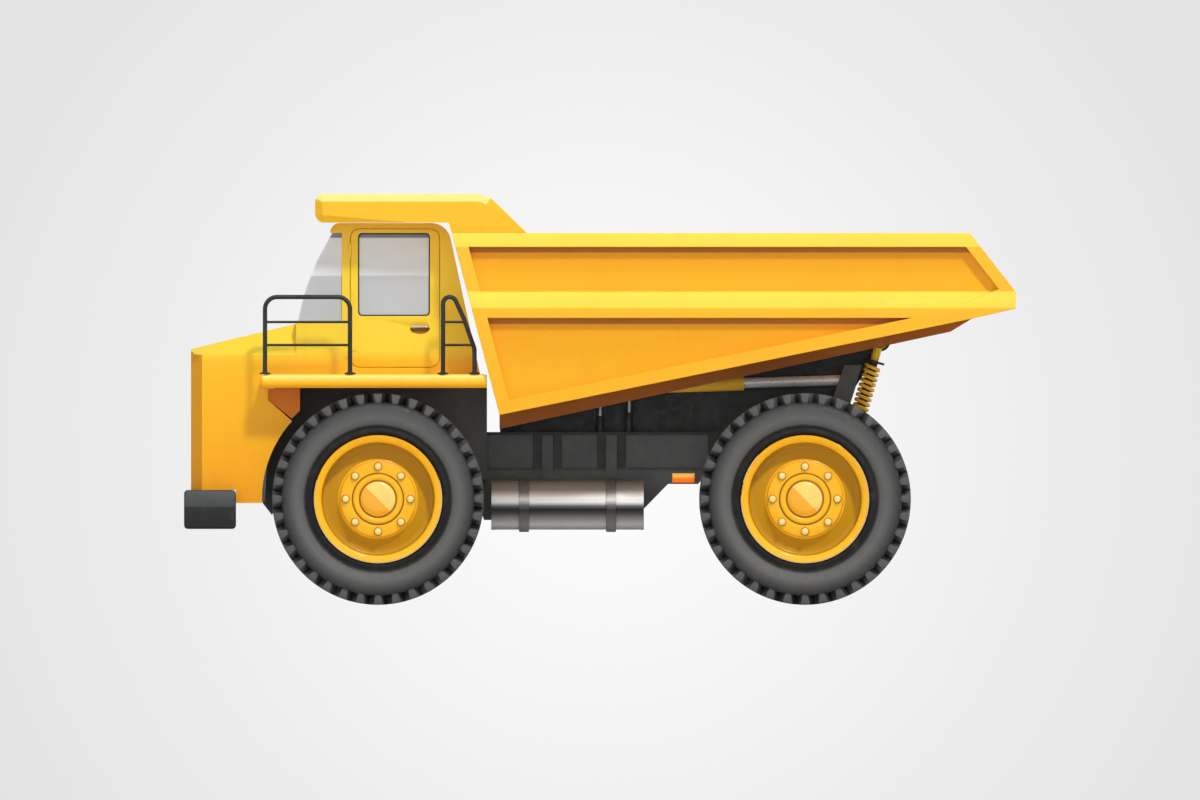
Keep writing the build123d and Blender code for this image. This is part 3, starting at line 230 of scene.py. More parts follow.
def plain_mesh(bm, name, coats=(), angle=None):
    """The built shape as a mesh. Faces that meet at less than the angle are shaded as one."""
    mesh = bpy.data.meshes.new(name)
    bm.to_mesh(mesh)
    bm.free()
    for coat in coats:
        mesh.materials.append(finishes[coat])
    if angle:
        smooth(mesh, angle)
    return mesh


print("mesh helpers ready")

# %% [markdown]
# ## Backdrop, floor and light
# The picture has a pale backdrop that is brightest in the middle. A large dome stands in for it. Only camera
# rays see it, so it throws no light. The light comes from a soft sun over the camera's shoulder, an even sky,
# a weak fill from each side and two bounce lights from below, which stand for what a pale floor throws back.
# The floor lies at zero and keeps the shadow in the views from above.

# %% Backdrop and floor
glow_height, glow_start, glow_end = 1.6, 0.6, 6.6
dome_radius, floor_radius = 90, 26


def stage_mesh(name, build):
    bm = bmesh.new()
    build(bm)
    made = bpy.data.objects.new(name, plain_mesh(bm, name))
    scene.collection.objects.link(made)
    return made


def backdrop_finish():
    finish = Finish("backdrop")
    sideways = finish.math("MULTIPLY", finish.axis("X"), finish.axis("X"))
    lift = finish.math("SUBTRACT", finish.axis("Z"), glow_height)
    reach = finish.math("SQRT", finish.math("ADD", sideways, finish.math("MULTIPLY", lift, lift)))
    share = finish.span(reach, glow_start, glow_end, smooth=False)
    glow = finish.ramp(share, [(0.0, srgb(252, 252, 252)), (1.0, srgb(228, 228, 228))])
    light = finish.node("ShaderNodeEmission")
    finish.feed(light.inputs["Color"], glow)
    rays = finish.node("ShaderNodeLightPath")
    finish.choose(rays.outputs["Is Camera Ray"], finish.clear(), light.outputs[0])
    return finish.material


dome = stage_mesh("backdrop_dome", lambda bm: bmesh.ops.create_uvsphere(
    bm, u_segments=64, v_segments=32, radius=dome_radius))
dome.data.materials.append(backdrop_finish())
floor = stage_mesh("floor", lambda bm: bmesh.ops.create_circle(
    bm, cap_ends=True, segments=96, radius=floor_radius))
floor_finish = Finish("pale_floor", Roughness=0.9)
floor_finish.colour(floor_finish.ramp(floor_finish.noise(0.6), [
    (0.3, srgb(226, 226, 225)), (0.7, srgb(234, 234, 233))]))
# Seen from below the floor is clear, so that the underside can be looked at.
from_below = floor_finish.node("ShaderNodeNewGeometry").outputs["Backfacing"]
floor_finish.choose(from_below, floor_finish.shader.outputs[0], floor_finish.clear())
floor.data.materials.append(floor_finish.material)
# The bounce lights come from under the floor, so it throws no shadow.
floor.visible_shadow = False
print("stage: a dome and a floor")

# %% Light
world = bpy.data.worlds.new("sky")
world.use_nodes = True
sky = world.node_tree
background = sky.nodes["Background"]
background.inputs["Color"].default_value = (0.93, 0.965, 1.0, 1.0)
background.inputs["Strength"].default_value = 0.36
pale = sky.nodes.new("ShaderNodeBackground")
pale.inputs["Color"].default_value = srgb(240, 240, 240)
paths = sky.nodes.new("ShaderNodeLightPath")
seen = paths.outputs["Is Camera Ray"]
for kind in ("Is Transmission Ray", "Is Glossy Ray"):
    either = sky.nodes.new("ShaderNodeMath")
    either.operation = "MAXIMUM"
    sky.links.new(seen, either.inputs[0])
    sky.links.new(paths.outputs[kind], either.inputs[1])
    seen = either.outputs[0]
sky_choice = sky.nodes.new("ShaderNodeMixShader")
sky.links.new(seen, sky_choice.inputs[0])
sky.links.new(background.outputs[0], sky_choice.inputs[1])
sky.links.new(pale.outputs[0], sky_choice.inputs[2])
sky.links.new(sky_choice.outputs[0], sky.nodes["World Output"].inputs["Surface"])
scene.world = world


def sun_light(name, energy, angle, colour, travel, shines):
    """A sun whose light travels this way. One that doesn't shine leaves no glare on the paint."""
    data = bpy.data.lights.new(name, "SUN")
    data.energy, data.angle, data.color = energy, math.radians(angle), colour
    made = bpy.data.objects.new(name, data)
    made.rotation_euler = Vector(travel).to_track_quat("-Z", "Y").to_euler()
    made.visible_glossy = shines
    scene.collection.objects.link(made)


warm, white, floor_tint = (1.0, 0.98, 0.94), (1.0, 1.0, 1.0), (1.0, 0.98, 0.95)
sun_light("soft_sun", 1.75, 7, warm, (0.3, -0.72, -0.9), True)
for name, side in (("left_fill", 1), ("right_fill", -1)):
    sun_light(name, 0.7, 50, white, (-0.1, -1.0 * side, -0.12), False)
for name, side in (("left_bounce", 1), ("right_bounce", -1)):
    sun_light(name, 0.75, 60, floor_tint, (-0.05, -0.8 * side, 0.5), False)

strip_reach, strip_lift = 14, 0.004


def dark_strip(name, y_low, y_high):
    """A strip on the floor that only reflections see: it gives polished metal its dark line."""
    corners = [(-strip_reach, y_low, strip_lift), (strip_reach, y_low, strip_lift),
               (strip_reach, y_high, strip_lift), (-strip_reach, y_high, strip_lift)]
    strip = stage_mesh(name, lambda bm: bm.faces.new([bm.verts.new(corner) for corner in corners]))
    finish = Finish(name)
    dark = finish.node("ShaderNodeEmission")
    dark.inputs["Color"].default_value = srgb(34, 34, 36)
    reflected = finish.node("ShaderNodeLightPath").outputs["Is Glossy Ray"]
    finish.choose(reflected, finish.clear(), dark.outputs[0])
    strip.data.materials.append(finish.material)


dark_strip("left_strip", 3.0, 6.0)
dark_strip("right_strip", -6.0, -3.0)
print("light: soft sun, two fills, two bounce lights and an even sky")

# %% [markdown]
# ## Paint, metal and rubber
# Sprayed paint on a machine is never one flat colour: the sun bleaches what faces up, dust settles low, and
# the spray leaves a fine orange-peel skin. A picture could be wrapped on, but noise at a few scales does the
# same without any image, and it never shows a seam. Each paint's tone also changes with height, which is
# painted light and shade: painted highlight bands where light catches and a deeper orange low down. The
# bed's recessed panels are a tone deeper, a painted shade, its raised borders carry painted highlights, and
# a painted shadow line runs under each rail.

# %% Paint
# Distances from the middle at which the bed's panels take their painted shade and its borders their painted
# light.
recess_depth, border_depth = (1.88, 1.895), (1.905, 1.92)


def tone(finish, stops):
    """A colour that follows the height: stops are (z, red, green, blue)."""
    low, high = stops[0][0], stops[-1][0]
    share = finish.span(finish.axis("Z"), low, high, smooth=False)
    return finish.ramp(share, [((z - low) / (high - low), srgb(*colour)) for z, *colour in stops])


def spray_paint(name, stops, dust=0.2, sides=None, shadow_bands=()):
    """Yellow paint, toned by height in painted light and shade; sides adds the bed's painted highlight and
    shade.
    """
    finish = Finish(name, Coat_Weight=0.14, Coat_Roughness=0.15, Specular_IOR_Level=0.22)
    paint = tone(finish, stops)
    if sides:
        depth = finish.math("ABSOLUTE", finish.axis("Y"))
        border, panel = tone(finish, sides[0]), tone(finish, sides[1])
        for low, high in shadow_bands:
            band = finish.math("MULTIPLY", finish.span(finish.axis("Z"), low - 0.012, low),
                               finish.span(finish.axis("Z"), high, high + 0.004, 1.0, 0.0))
            # A painted shadow line in each band, just under a rail.
            panel = finish.mix(finish.math("MULTIPLY", band, 0.85), panel, srgb(150, 84, 4))
        paint = finish.mix(finish.span(depth, *recess_depth), paint, panel)
        paint = finish.mix(finish.span(depth, *border_depth), paint, border)
    cloud = finish.noise(0.9, detail=5)
    paint = finish.mix(finish.span(cloud, 0.4, 0.8, 0.0, 0.1), paint, srgb(236, 160, 20))
    streak = finish.noise(3.0, detail=6, roughness=0.65, stretch=(2.2, 2.2, 0.35))
    low_down = finish.span(finish.axis("Z"), 1.0, 2.6, 1.0, 0.35)
    dirt = finish.math("MULTIPLY", finish.span(streak, 0.52, 0.78, 0.0, dust), low_down)
    paint = finish.mix(dirt, paint, srgb(176, 132, 62))
    specks = finish.span(finish.noise(55, detail=2), 0.735, 0.76)
    paint = finish.mix(finish.math("MULTIPLY", specks, 0.4), paint, srgb(120, 84, 30))
    finish.colour(paint)
    finish.rough(finish.span(finish.noise(7, detail=4), 0.3, 0.75, 0.38, 0.48))
    finish.bump(finish.noise(180, detail=1), 0.0006, 0.35)
    finish.bump(finish.noise(2.2, detail=2), 0.012, 0.04)
    finishes[name] = finish.material


# The tones by height are painted light and shade: a deeper orange low down, and on the cab a painted highlight
# above a step at 2.5 m.
cab_light_and_shade_stops = [(0.9, 248, 160, 4), (1.25, 252, 170, 8), (2.25, 255, 188, 24), (2.44, 255, 196, 34),
             (2.54, 253, 219, 58), (3.2, 253, 216, 56), (3.8, 255, 206, 46), (4.11, 255, 210, 50)]
bed_light_and_shade_stops = [(1.9, 252, 184, 26), (2.86, 254, 194, 38), (3.72, 255, 206, 50), (4.11, 255, 210, 52)]
# The bright bands of the top and middle rails are painted highlights.
border_light_stops = [(1.9, 252, 182, 28), (2.86, 254, 188, 36), (2.966, 255, 190, 38), (2.976, 255, 222, 72),
                (3.05, 255, 230, 80), (3.132, 255, 230, 80), (3.142, 255, 192, 42), (3.575, 253, 196, 46),
                (3.585, 255, 226, 76), (3.72, 255, 232, 84), (3.74, 255, 206, 48), (4.11, 255, 208, 50)]
# The recessed panels are a painted shade, deepest just under the rails.
panel_shade_stops = [(1.9, 246, 180, 16), (2.3, 247, 180, 16), (2.8, 240, 164, 2), (3.0, 246, 178, 14),
               (3.24, 246, 181, 16), (3.5, 239, 160, 0), (3.6, 236, 156, 0)]
spray_paint("yellow_paint", cab_light_and_shade_stops)
spray_paint("bed_paint", bed_light_and_shade_stops, sides=(border_light_stops, panel_shade_stops), shadow_bands=((3.53, 3.6), (2.815, 2.88)))
spray_paint("canopy_paint", [(3.7, 255, 192, 34), (4.11, 255, 198, 40)])
# A painted highlight for the canopy's cut rim.
spray_paint("canopy_edge", [(3.9, 255, 232, 110), (4.11, 255, 242, 146)])
# A painted highlight along the top of the deck's rim, and a painted shade below it.
spray_paint("deck_paint", [(2.17, 250, 170, 16), (2.2, 252, 176, 22), (2.225, 252, 188, 34),
                           (2.26, 253, 220, 84), (2.29, 255, 240, 136), (2.31, 255, 208, 56)])
# A painted shade for the nose's cut corners.
spray_paint("nose_edge", [(0.95, 222, 144, 8), (2.6, 226, 158, 26)])
# A brown copy of the yellow, as painted shade, for the plates in the front wheel arches.
spray_paint("arch_paint", [(1.7, 226, 130, 4), (2.17, 214, 120, 2)])
# A lighter, flat copy of the yellow: painted light for the hoists and springs that the bed shades.
spray_paint("hoist_paint", [(1.3, 255, 202, 60), (2.8, 255, 202, 60)], dust=0.05)
# A brown copy of the yellow: painted shade for the sills under the bed and the pivot pin.
spray_paint("amber_paint", [(1.0, 150, 84, 0), (2.0, 160, 90, 0), (4.0, 172, 98, 2)])
# Darker golds as painted shade: in the rim's dish, barrel wall and grooves, under the nuts and in the door's
# cup.
spray_paint("gold_dish", [(0.0, 196, 146, 12), (1.06, 198, 148, 14), (2.12, 192, 140, 12)], dust=0.15)
spray_paint("groove_gold", [(0.0, 150, 96, 6), (2.12, 154, 100, 8)], dust=0.1)
spray_paint("nut_gold", [(0.0, 248, 222, 140), (2.12, 252, 230, 156)], dust=0.05)
spray_paint("wheel_paint", [(0.0, 255, 196, 44), (1.06, 255, 190, 34), (2.12, 255, 178, 22)], dust=0.15)
print("paints:", ", ".join(finishes))

# %% Grey and black coats
rail_face_y, rail_face_low = 0.52, (1.33, 1.38)
bumper_middle = (0.975, 0.99)


def dark_coat(name, deep, worn, roughness, grain=45, mask=None):
    """A dull coat from a deep tone to a worn one, with dust. mask adds what belongs to one piece alone."""
    finish = Finish(name, Specular_IOR_Level=0.4)
    cloud = finish.noise(2.4, detail=6, roughness=0.6)
    shade = finish.ramp(cloud, [(0.32, deep), (0.72, worn)])
    dust = finish.span(finish.noise(9, detail=5), 0.55, 0.8, 0.0, 0.16)
    coat = finish.mix(dust, shade, srgb(120, 112, 98))
    finish.colour(mask(finish, coat) if mask else coat)
    finish.rough(finish.span(finish.noise(14, detail=3), 0.3, 0.7, roughness - 0.08, roughness + 0.1))
    finish.bump(finish.noise(grain, detail=3), 0.002, 0.3)
    finishes[name] = finish.material


def rail_bays(finish, coat):
    """The frame rail's face is darker than its bays and ribs, which lie behind it and stand before it."""
    away = finish.math("SUBTRACT", finish.math("ABSOLUTE", finish.axis("Y")), rail_face_y)
    on_face = finish.span(finish.math("ABSOLUTE", away), 0.004, 0.007, 1.0, 0.0)
    face = finish.math("MULTIPLY", on_face, finish.span(finish.axis("Z"), *rail_face_low))
    return finish.mix(face, coat, srgb(46, 49, 51))


def painted_highlight_top(finish, coat):
    """The upper half of the bumper is a lighter grey, a painted highlight."""
    return finish.mix(finish.span(finish.axis("Z"), *bumper_middle), coat, srgb(54, 60, 61))


dark_coat("frame_grey", srgb(74, 80, 82), srgb(90, 96, 98), 0.5, mask=rail_bays)
dark_coat("black_paint", srgb(28, 30, 32), srgb(44, 47, 50), 0.42)
dark_coat("well_black", srgb(78, 82, 85), srgb(90, 94, 97), 0.6, grain=80)
dark_coat("bumper_black", srgb(14, 15, 17), srgb(22, 23, 25), 0.45, mask=painted_highlight_top)
dark_coat("cast_dark", srgb(40, 43, 44), srgb(60, 63, 64), 0.65, grain=90)
dark_coat("dark_plastic", srgb(34, 35, 38), srgb(46, 47, 50), 0.55, grain=260)
dark_coat("seal_rubber", srgb(26, 28, 30), srgb(38, 40, 42), 0.6, grain=160)
dark_coat("lamp_shell", srgb(48, 50, 52), srgb(60, 62, 64), 0.4)
print("finishes so far:", len(finishes))

# %% [markdown]
# ## Tyre rubber
# Off-road rubber is dark grey. Its tone here is set by radius and is painted light and shade: a lighter
# band is a painted highlight where the side wall bulges, the groove by the rim and the tread between the lugs
# are painted near black as shade, and the lugs' faces darken towards their roots. The lathe that makes the
# tyre stores each point's radius in an attribute called ring, and the finish reads it, so the rings follow
# the wheel wherever it stands or turns.

# %% Tyre rubber
def tyre_rubber():
    finish = Finish("tyre_rubber", Specular_IOR_Level=0.35)
    ring = finish.node("ShaderNodeAttribute", attribute_name="ring").outputs["Fac"]
    share = finish.span(ring, 0.64, 1.06, smooth=False)
    # The ramp paints the shade in the rim's groove and on the tread floor, and a highlight on the side wall.
    shade = finish.ramp(share, [
        (0.0, srgb(12, 12, 13)), (0.21, srgb(14, 14, 15)), (0.27, srgb(92, 92, 92)), (0.42, srgb(98, 98, 98)),
        (0.62, srgb(70, 70, 71)), (0.74, srgb(48, 49, 50)), (0.78, srgb(30, 31, 32)), (1.0, srgb(84, 86, 87))])
    dust = finish.span(finish.noise(6, detail=6, roughness=0.65), 0.5, 0.8, 0.0, 0.2)
    finish.colour(finish.mix(dust, shade, srgb(104, 97, 86)))
    finish.rough(finish.span(finish.noise(20, detail=3), 0.3, 0.7, 0.5, 0.72))
    finish.bump(finish.noise(60, detail=5), 0.003, 0.35)
    finishes["tyre_rubber"] = finish.material


tyre_rubber()
print("tyre rubber: reads the ring attribute")

# %% [markdown]
# ## Hub cap
# The cap in the middle of each wheel has two tones that part on a slant: a painted reflection, as if one half
# of a polished cap showed the sky and the other the ground. Those tones are in the finish. The lathe stores
# how far each point lies from the slant in an attribute, so that the line turns with the wheel.

# %% Hub cap
def cap_gold():
    finish = Finish("cap_gold", Coat_Weight=0.6, Coat_Roughness=0.05, Specular_IOR_Level=0.4)
    slant = finish.node("ShaderNodeAttribute", attribute_name="slant").outputs["Fac"]
    half = finish.mix(finish.span(slant, -0.006, 0.006), srgb(255, 176, 26), srgb(252, 220, 112))
    film = finish.span(finish.noise(9, detail=4), 0.4, 0.75, 0.0, 0.2)
    finish.colour(finish.mix(film, half, srgb(236, 170, 50)))
    finish.rough(finish.span(finish.noise(24, detail=3), 0.3, 0.7, 0.16, 0.28))
    finishes["cap_gold"] = finish.material


cap_gold()
print("hub cap: reads the slant attribute")

# %% [markdown]
# ## Bright metal, glass and lenses
# A polished tank shows bands of light and dark. Most of them are a painted reflection here, tones by height in
# the finish of the tank and its straps, and the rest is what the metal reflects. The hoist rods are chromed;
# their near-white finish with little metal is a painted reflection. A fine brushed noise in the roughness
# keeps all of these from looking like mirrors. The window glass is pale and only partly clear, with a painted
# reflection that is lighter in its upper part and a painted shadow along its top. The lamp lenses are clear
# or amber plastic.

# %% Bright metal
def bright_metal(name, tint, roughness, brush=(1, 1, 1), spread=0.12, metal=1.0):
    finish = Finish(name, Metallic=metal)
    fine = finish.noise(30, detail=4, stretch=brush)
    bright = tone(finish, tint) if isinstance(tint, list) else tint
    finish.colour(finish.mix(finish.span(fine, 0.3, 0.7, 0.0, 0.12), bright, srgb(90, 90, 94)))
    finish.rough(finish.span(fine, 0.3, 0.7, roughness, roughness + spread))
    finish.bump(finish.noise(120, detail=2, stretch=brush), 0.0006, 0.25)
    finishes[name] = finish.material


bright_metal("polished_metal", srgb(232, 232, 234), 0.1, brush=(1, 8, 8), spread=0.06)
# A painted reflection by height: a bright band near 1.05 m and a dark band near 0.95 m.
tank_reflection_stops = [(0.73, 150, 150, 152), (0.81, 190, 190, 190), (0.86, 140, 140, 141), (0.91, 70, 70, 71),
              (0.945, 30, 30, 31), (0.96, 34, 34, 35), (0.99, 104, 104, 105), (1.03, 250, 250, 250),
              (1.075, 255, 255, 255), (1.15, 164, 165, 166), (1.22, 156, 158, 158), (1.27, 140, 140, 142)]
strap_reflection_stops = [(0.73, 104, 104, 106), (0.81, 116, 116, 118), (0.91, 70, 70, 71), (0.95, 44, 44, 45),
               (1.0, 110, 110, 111), (1.055, 236, 236, 236), (1.12, 124, 124, 126), (1.22, 106, 108, 108),
               (1.29, 96, 96, 98)]
bright_metal("tank_metal", tank_reflection_stops, 0.34, brush=(1, 8, 8), spread=0.06, metal=0.25)
bright_metal("strap_metal", strap_reflection_stops, 0.36, brush=(1, 8, 8), spread=0.06, metal=0.2)
# Near-white with little metal: the chrome's brightness is a painted reflection of a bright sky.
bright_metal("rod_chrome", srgb(250, 252, 255), 0.24, brush=(1, 10, 10), metal=0.3)
bright_metal("bright_steel", srgb(176, 178, 182), 0.3, brush=(8, 8, 1))
bright_metal("lamp_mirror", srgb(236, 236, 236), 0.1)
print("finishes so far:", len(finishes))

# %% Glass and lenses
def see_through(name, stops, roughness, weight, ior=1.45):
    finish = Finish(name, Transmission_Weight=weight, IOR=ior, Specular_IOR_Level=0.3)
    film = finish.noise(1.6, detail=4)
    finish.colour(finish.mix(finish.span(film, 0.4, 0.8, 0.0, 0.08), tone(finish, stops), srgb(150, 152, 156)))
    finish.rough(finish.span(finish.noise(5, detail=5), 0.45, 0.8, roughness, roughness + 0.08))
    finishes[name] = finish.material


def amber_lens():
    """Lit amber plastic: paler in its upper part, deep orange in the ribbed part."""
    finish = Finish("amber_lens", Roughness=0.18, Coat_Weight=0.5, Emission_Strength=0.55)
    colour = tone(finish, [(1.22, 255, 104, 0), (1.262, 255, 122, 6), (1.274, 255, 164, 40),
                           (1.318, 255, 204, 110)])
    grain = finish.span(finish.noise(40, detail=2), 0.35, 0.7, 0.0, 0.15)
    colour = finish.mix(grain, colour, srgb(255, 140, 20))
    finish.colour(colour)
    finish.feed(finish.shader.inputs["Emission Color"], colour)
    finishes["amber_lens"] = finish.material


# A painted reflection, lighter above 3.3 m, and a painted shadow along the top of the pane.
glass_reflection_stops = [(2.8, 218, 222, 227), (3.285, 214, 218, 224), (3.3, 250, 253, 255), (3.668, 252, 254, 255),
               (3.676, 150, 153, 168), (3.72, 150, 153, 168)]
see_through("window_glass", glass_reflection_stops, 0.03, 0.24, ior=1.15)
see_through("clear_lens", [(1.4, 240, 242, 244), (1.7, 246, 248, 250)], 0.05, 0.9)
amber_lens()
print("finishes:", len(finishes))

# %% [markdown]
# ## Dressed panels
# A CAD solid has edges as sharp as a knife. Folded and welded plate has a small radius that catches the
# light, and that line of light is what tells the eye how thick a panel is. Each panel here is a copy of its
# CAD node: the loose triangles are merged, flat facets are joined, and a bevel rounds every edge that turns
# by more than 30 degrees. A bevel modifier could do it too, but the copy lets each panel have its own radius.

# %% Dressed panels
sharp_turn = math.radians(30)


def piece(name, mesh, body, stands_for=()):
    """Put a finished mesh in the scene and tie it to its body."""
    made = bpy.data.objects.new(name, mesh)
    scene.collection.objects.link(made)
    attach(made, body)
    if stands_for:
        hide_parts(*stands_for)
    return made


def body_of(node):
    return next(body for body, members in frame["record"]["behaviour"]["bodies"].items() if node in members)


def welded_copy(node):
    """A bmesh of a CAD node with its doubles merged and its flat facets joined."""
    source = frame["nodes"][node].data
    bm = bmesh.new()
    corners = [bm.verts.new(corner.co) for corner in source.vertices]
    for facet in source.polygons:
        bm.faces.new([corners[index] for index in facet.vertices])
    bmesh.ops.remove_doubles(bm, verts=bm.verts, dist=2e-5)
    bmesh.ops.dissolve_limit(bm, angle_limit=math.radians(1.0), verts=bm.verts, edges=bm.edges)
    return bm


def dress(node, radius, finish, steps=2, wide=None, shape=None):
    """A copy of a CAD node with rounded edges. wide is (radius, steps, which edges) for a larger rounding
    first, and shape moves corners before that."""
    bm = welded_copy(node)

    def sharp_edges():
        return [edge for edge in bm.edges if edge.calc_face_angle(0) > sharp_turn]

    def round_off(edges, reach, segments, clamp):
        bmesh.ops.bevel(bm, geom=edges, offset=reach, offset_type="OFFSET", segments=segments, profile=0.5,
                        affect="EDGES", clamp_overlap=clamp)

    if shape:
        for corner in bm.verts:
            shape(corner.co)
    if wide:
        reach, segments, chosen = wide
        rim = [edge for edge in sharp_edges() if chosen(edge.verts[0].co, edge.verts[1].co)]
        round_off(rim, reach, segments, clamp=False)
    if radius:
        round_off(sharp_edges(), radius, steps, clamp=True)
    mesh = plain_mesh(bm, node + "_skin", [finish], 35)
    made = piece(node + "_skin", mesh, body_of(node), [node])
    even = made.modifiers.new("even_shading", "WEIGHTED_NORMAL")
    even.keep_sharp = True
    return made


bed_panels = {"bed_left_side": 0.016, "bed_right_side": 0.016, "bed_floor": 0.01, "bed_front_wall": 0.01}
for node, radius in bed_panels.items():
    dress(node, radius, "bed_paint", steps=3)
cab_panels = {"cab_roof": 0.03, "cab_left_wall": 0.012, "cab_right_wall": 0.012, "cab_rear_wall": 0.012,
              "cab_front_panel": 0.012, "cab_door": 0.012}
for node, radius in cab_panels.items():
    dress(node, radius, "yellow_paint", steps=3)
print("dressed: the bed and the cab")

# %% [markdown]
# ### Panels with a wide edge
# The nose has cut front corners and the canopy a cut rim. The CAD solids have plain corners there, so a wide
# bevel of one step makes both cuts, and a second coat paints them: a darker orange on the nose's cuts is a
# painted shade, and a pale yellow on the canopy's rim is a painted highlight. The deck's rim is rounded in
# five steps, and its paint carries a painted highlight along the top and a painted shade below. The canopy's
# skirt is lowered a little, to close most of the gap above the cab. The other panels only need their edges
# rounded.

# %% Panels with a wide edge
nose_front_x, nose_side_y, nose_corner_rise = 4.05, 1.4, 0.3
canopy_side_y, canopy_top_z, canopy_front_x = 1.89, 3.98, 2.76
skirt_rear_x, skirt_low_z, skirt_high_z = 0.9, 3.8, 3.93
skirt_drop, skirt_depth = 0.018, 0.1
deck_rim_z = 2.3
nose_cut_x, canopy_cut_z, slanted = 3.97, 4.03, 0.3


def nose_corner(start, end):
    """The upright front corners of the nose, which are cut at 45 degrees."""
    stands = abs(start.z - end.z) > nose_corner_rise
    return stands and min(start.x, end.x) > nose_front_x and min(abs(start.y), abs(end.y)) > nose_side_y


def canopy_rim(start, end):
    """The top and front edges of the canopy's sides, with the rounded ends."""
    outer = min(abs(start.y), abs(end.y)) > canopy_side_y
    return outer and (min(start.z, end.z) > canopy_top_z or min(start.x, end.x) > canopy_front_x)


def deck_rim(start, end):
    return min(start.z, end.z) > deck_rim_z


def lower_skirt(place):
    """The canopy's skirt comes down towards the line of the cab's roof."""
    if place.x > skirt_rear_x and skirt_low_z < place.z < skirt_high_z:
        place.z -= skirt_drop * (skirt_high_z - place.z) / skirt_depth


def nose_cut(place, normal):
    return place.x > nose_cut_x and abs(normal.y) > slanted and normal.x > slanted


def canopy_cut(place, normal):
    return place.z > canopy_cut_z and abs(normal.y) > slanted and normal.z > slanted


def second_coat(made, finish, chosen):
    """Another finish on the facets of a dressed panel that chosen picks by place and direction."""
    made.data.materials.append(finishes[finish])
    for facet in made.data.polygons:
        if chosen(facet.center, facet.normal):
            facet.material_index = len(made.data.materials) - 1


# The nose's cuts take a painted shade and the canopy's rim a painted highlight.
nose = dress("nose_cowl", 0.012, "yellow_paint", steps=3, wide=(0.11, 1, nose_corner))
second_coat(nose, "nose_edge", nose_cut)
canopy = dress("bed_canopy", 0.012, "canopy_paint", steps=3, wide=(0.075, 1, canopy_rim), shape=lower_skirt)
second_coat(canopy, "canopy_edge", canopy_cut)
dress("deck", 0.01, "deck_paint", steps=3, wide=(0.05, 5, deck_rim))
# The sills under the bed take the brown painted shade.
dress("bed_sills", 0.008, "amber_paint")
for node in ("frame_rail_left", "frame_rail_right", "frame_cross_members"):
    dress(node, 0.008, "frame_grey")
# The spine is black paint and also stands for the deep shade under the bed: a dark block where shade falls.
dress("frame_spine", 0.008, "black_paint")
for node in ("front_axle_beam", "rear_axle", "knuckle_left", "knuckle_right"):
    dress(node, 0.008, "black_paint")
dress("tank_straps", 0.008, "strap_metal")
dress("front_bumper", 0.02, "bumper_black", steps=3)
dress("wheel_wells", 0.006, "well_black")
dress("cab_floor", 0.004, "dark_plastic")
dress("dashboard", 0.02, "dark_plastic", steps=3)
dress("engine_block", 0.03, "cast_dark", steps=3)

# %% [markdown]
# ## Rules for what repeats
# Lugs, nuts, fins, spring turns and tubes repeat or follow a path, which is what Geometry Nodes are for: a
# small tree holds the rule, its named inputs hold the sizes, and one tree serves every wheel. The result is
# turned into a plain mesh at the end, so nothing live is left behind.

# %% Geometry Nodes helpers
def rule(name, inputs):
    """An empty tree with named inputs and a finish, ready for its nodes."""
    tree = bpy.data.node_groups.new(name, "GeometryNodeTree")
    tree.interface.new_socket("Geometry", in_out="INPUT", socket_type="NodeSocketGeometry")
    for label, kind in {**inputs, "Finish": "Material"}.items():
        tree.interface.new_socket(label, in_out="INPUT", socket_type="NodeSocket" + kind)
    tree.interface.new_socket("Geometry", in_out="OUTPUT", socket_type="NodeSocketGeometry")
    return tree, tree.nodes.new("NodeGroupInput"), tree.nodes.new("NodeGroupOutput")


def add(tree, kind, links, **settings):
    """Add a node, set it, and feed its inputs from sockets or plain values."""
    node = tree.nodes.new(kind)
    for label, value in settings.items():
        setattr(node, label, value)
    for label, value in links.items():
        if isinstance(value, bpy.types.NodeSocket):
            tree.links.new(value, node.inputs[label])
        else:
            node.inputs[label].default_value = value
    return node


def close_rule(tree, given, out, shape):
    """End a tree: copies become real, take the given finish and go out."""
    plain = add(tree, "GeometryNodeRealizeInstances", {"Geometry": shape})
    coated = add(tree, "GeometryNodeSetMaterial", {"Geometry": plain.outputs[0],
                                                   "Material": given.outputs["Finish"]})
    tree.links.new(coated.outputs[0], out.inputs[0])
    return tree


def frozen(holder):
    """The mesh of an object as its modifiers leave it. The modifiers are then removed."""
    graph = bpy.context.evaluated_depsgraph_get()
    mesh = bpy.data.meshes.new_from_object(holder.evaluated_get(graph), preserve_all_data_layers=True,
                                           depsgraph=graph)
    holder.modifiers.clear()
    return mesh


def grow(tree, name, start, values):
    """Run a tree on a start mesh with these inputs and return the plain mesh that comes out."""
    holder = bpy.data.objects.new(name + "_rule", start)
    scene.collection.objects.link(holder)
    modifier = holder.modifiers.new("rule", "NODES")
    modifier.node_group = tree
    for item in tree.interface.items_tree:
        if item.item_type == "SOCKET" and item.in_out == "INPUT" and item.name in values:
            modifier[item.identifier] = values[item.name]
    mesh = frozen(holder)
    mesh.name = name
    bpy.data.objects.remove(holder)
    return mesh


def pattern_object(name, mesh):
    """A mesh that a tree copies. It is removed when the copies are made."""
    made = bpy.data.objects.new(name, mesh)
    scene.collection.objects.link(made)
    return made


print("rule helpers ready")

# %% [markdown]
# ### Ring rule
# One lug or nut is made at the top of the wheel. The rule makes as many points as there are copies, all on
# the axle, and turns each copy by its index, so the whole ring comes from one count and one phase.

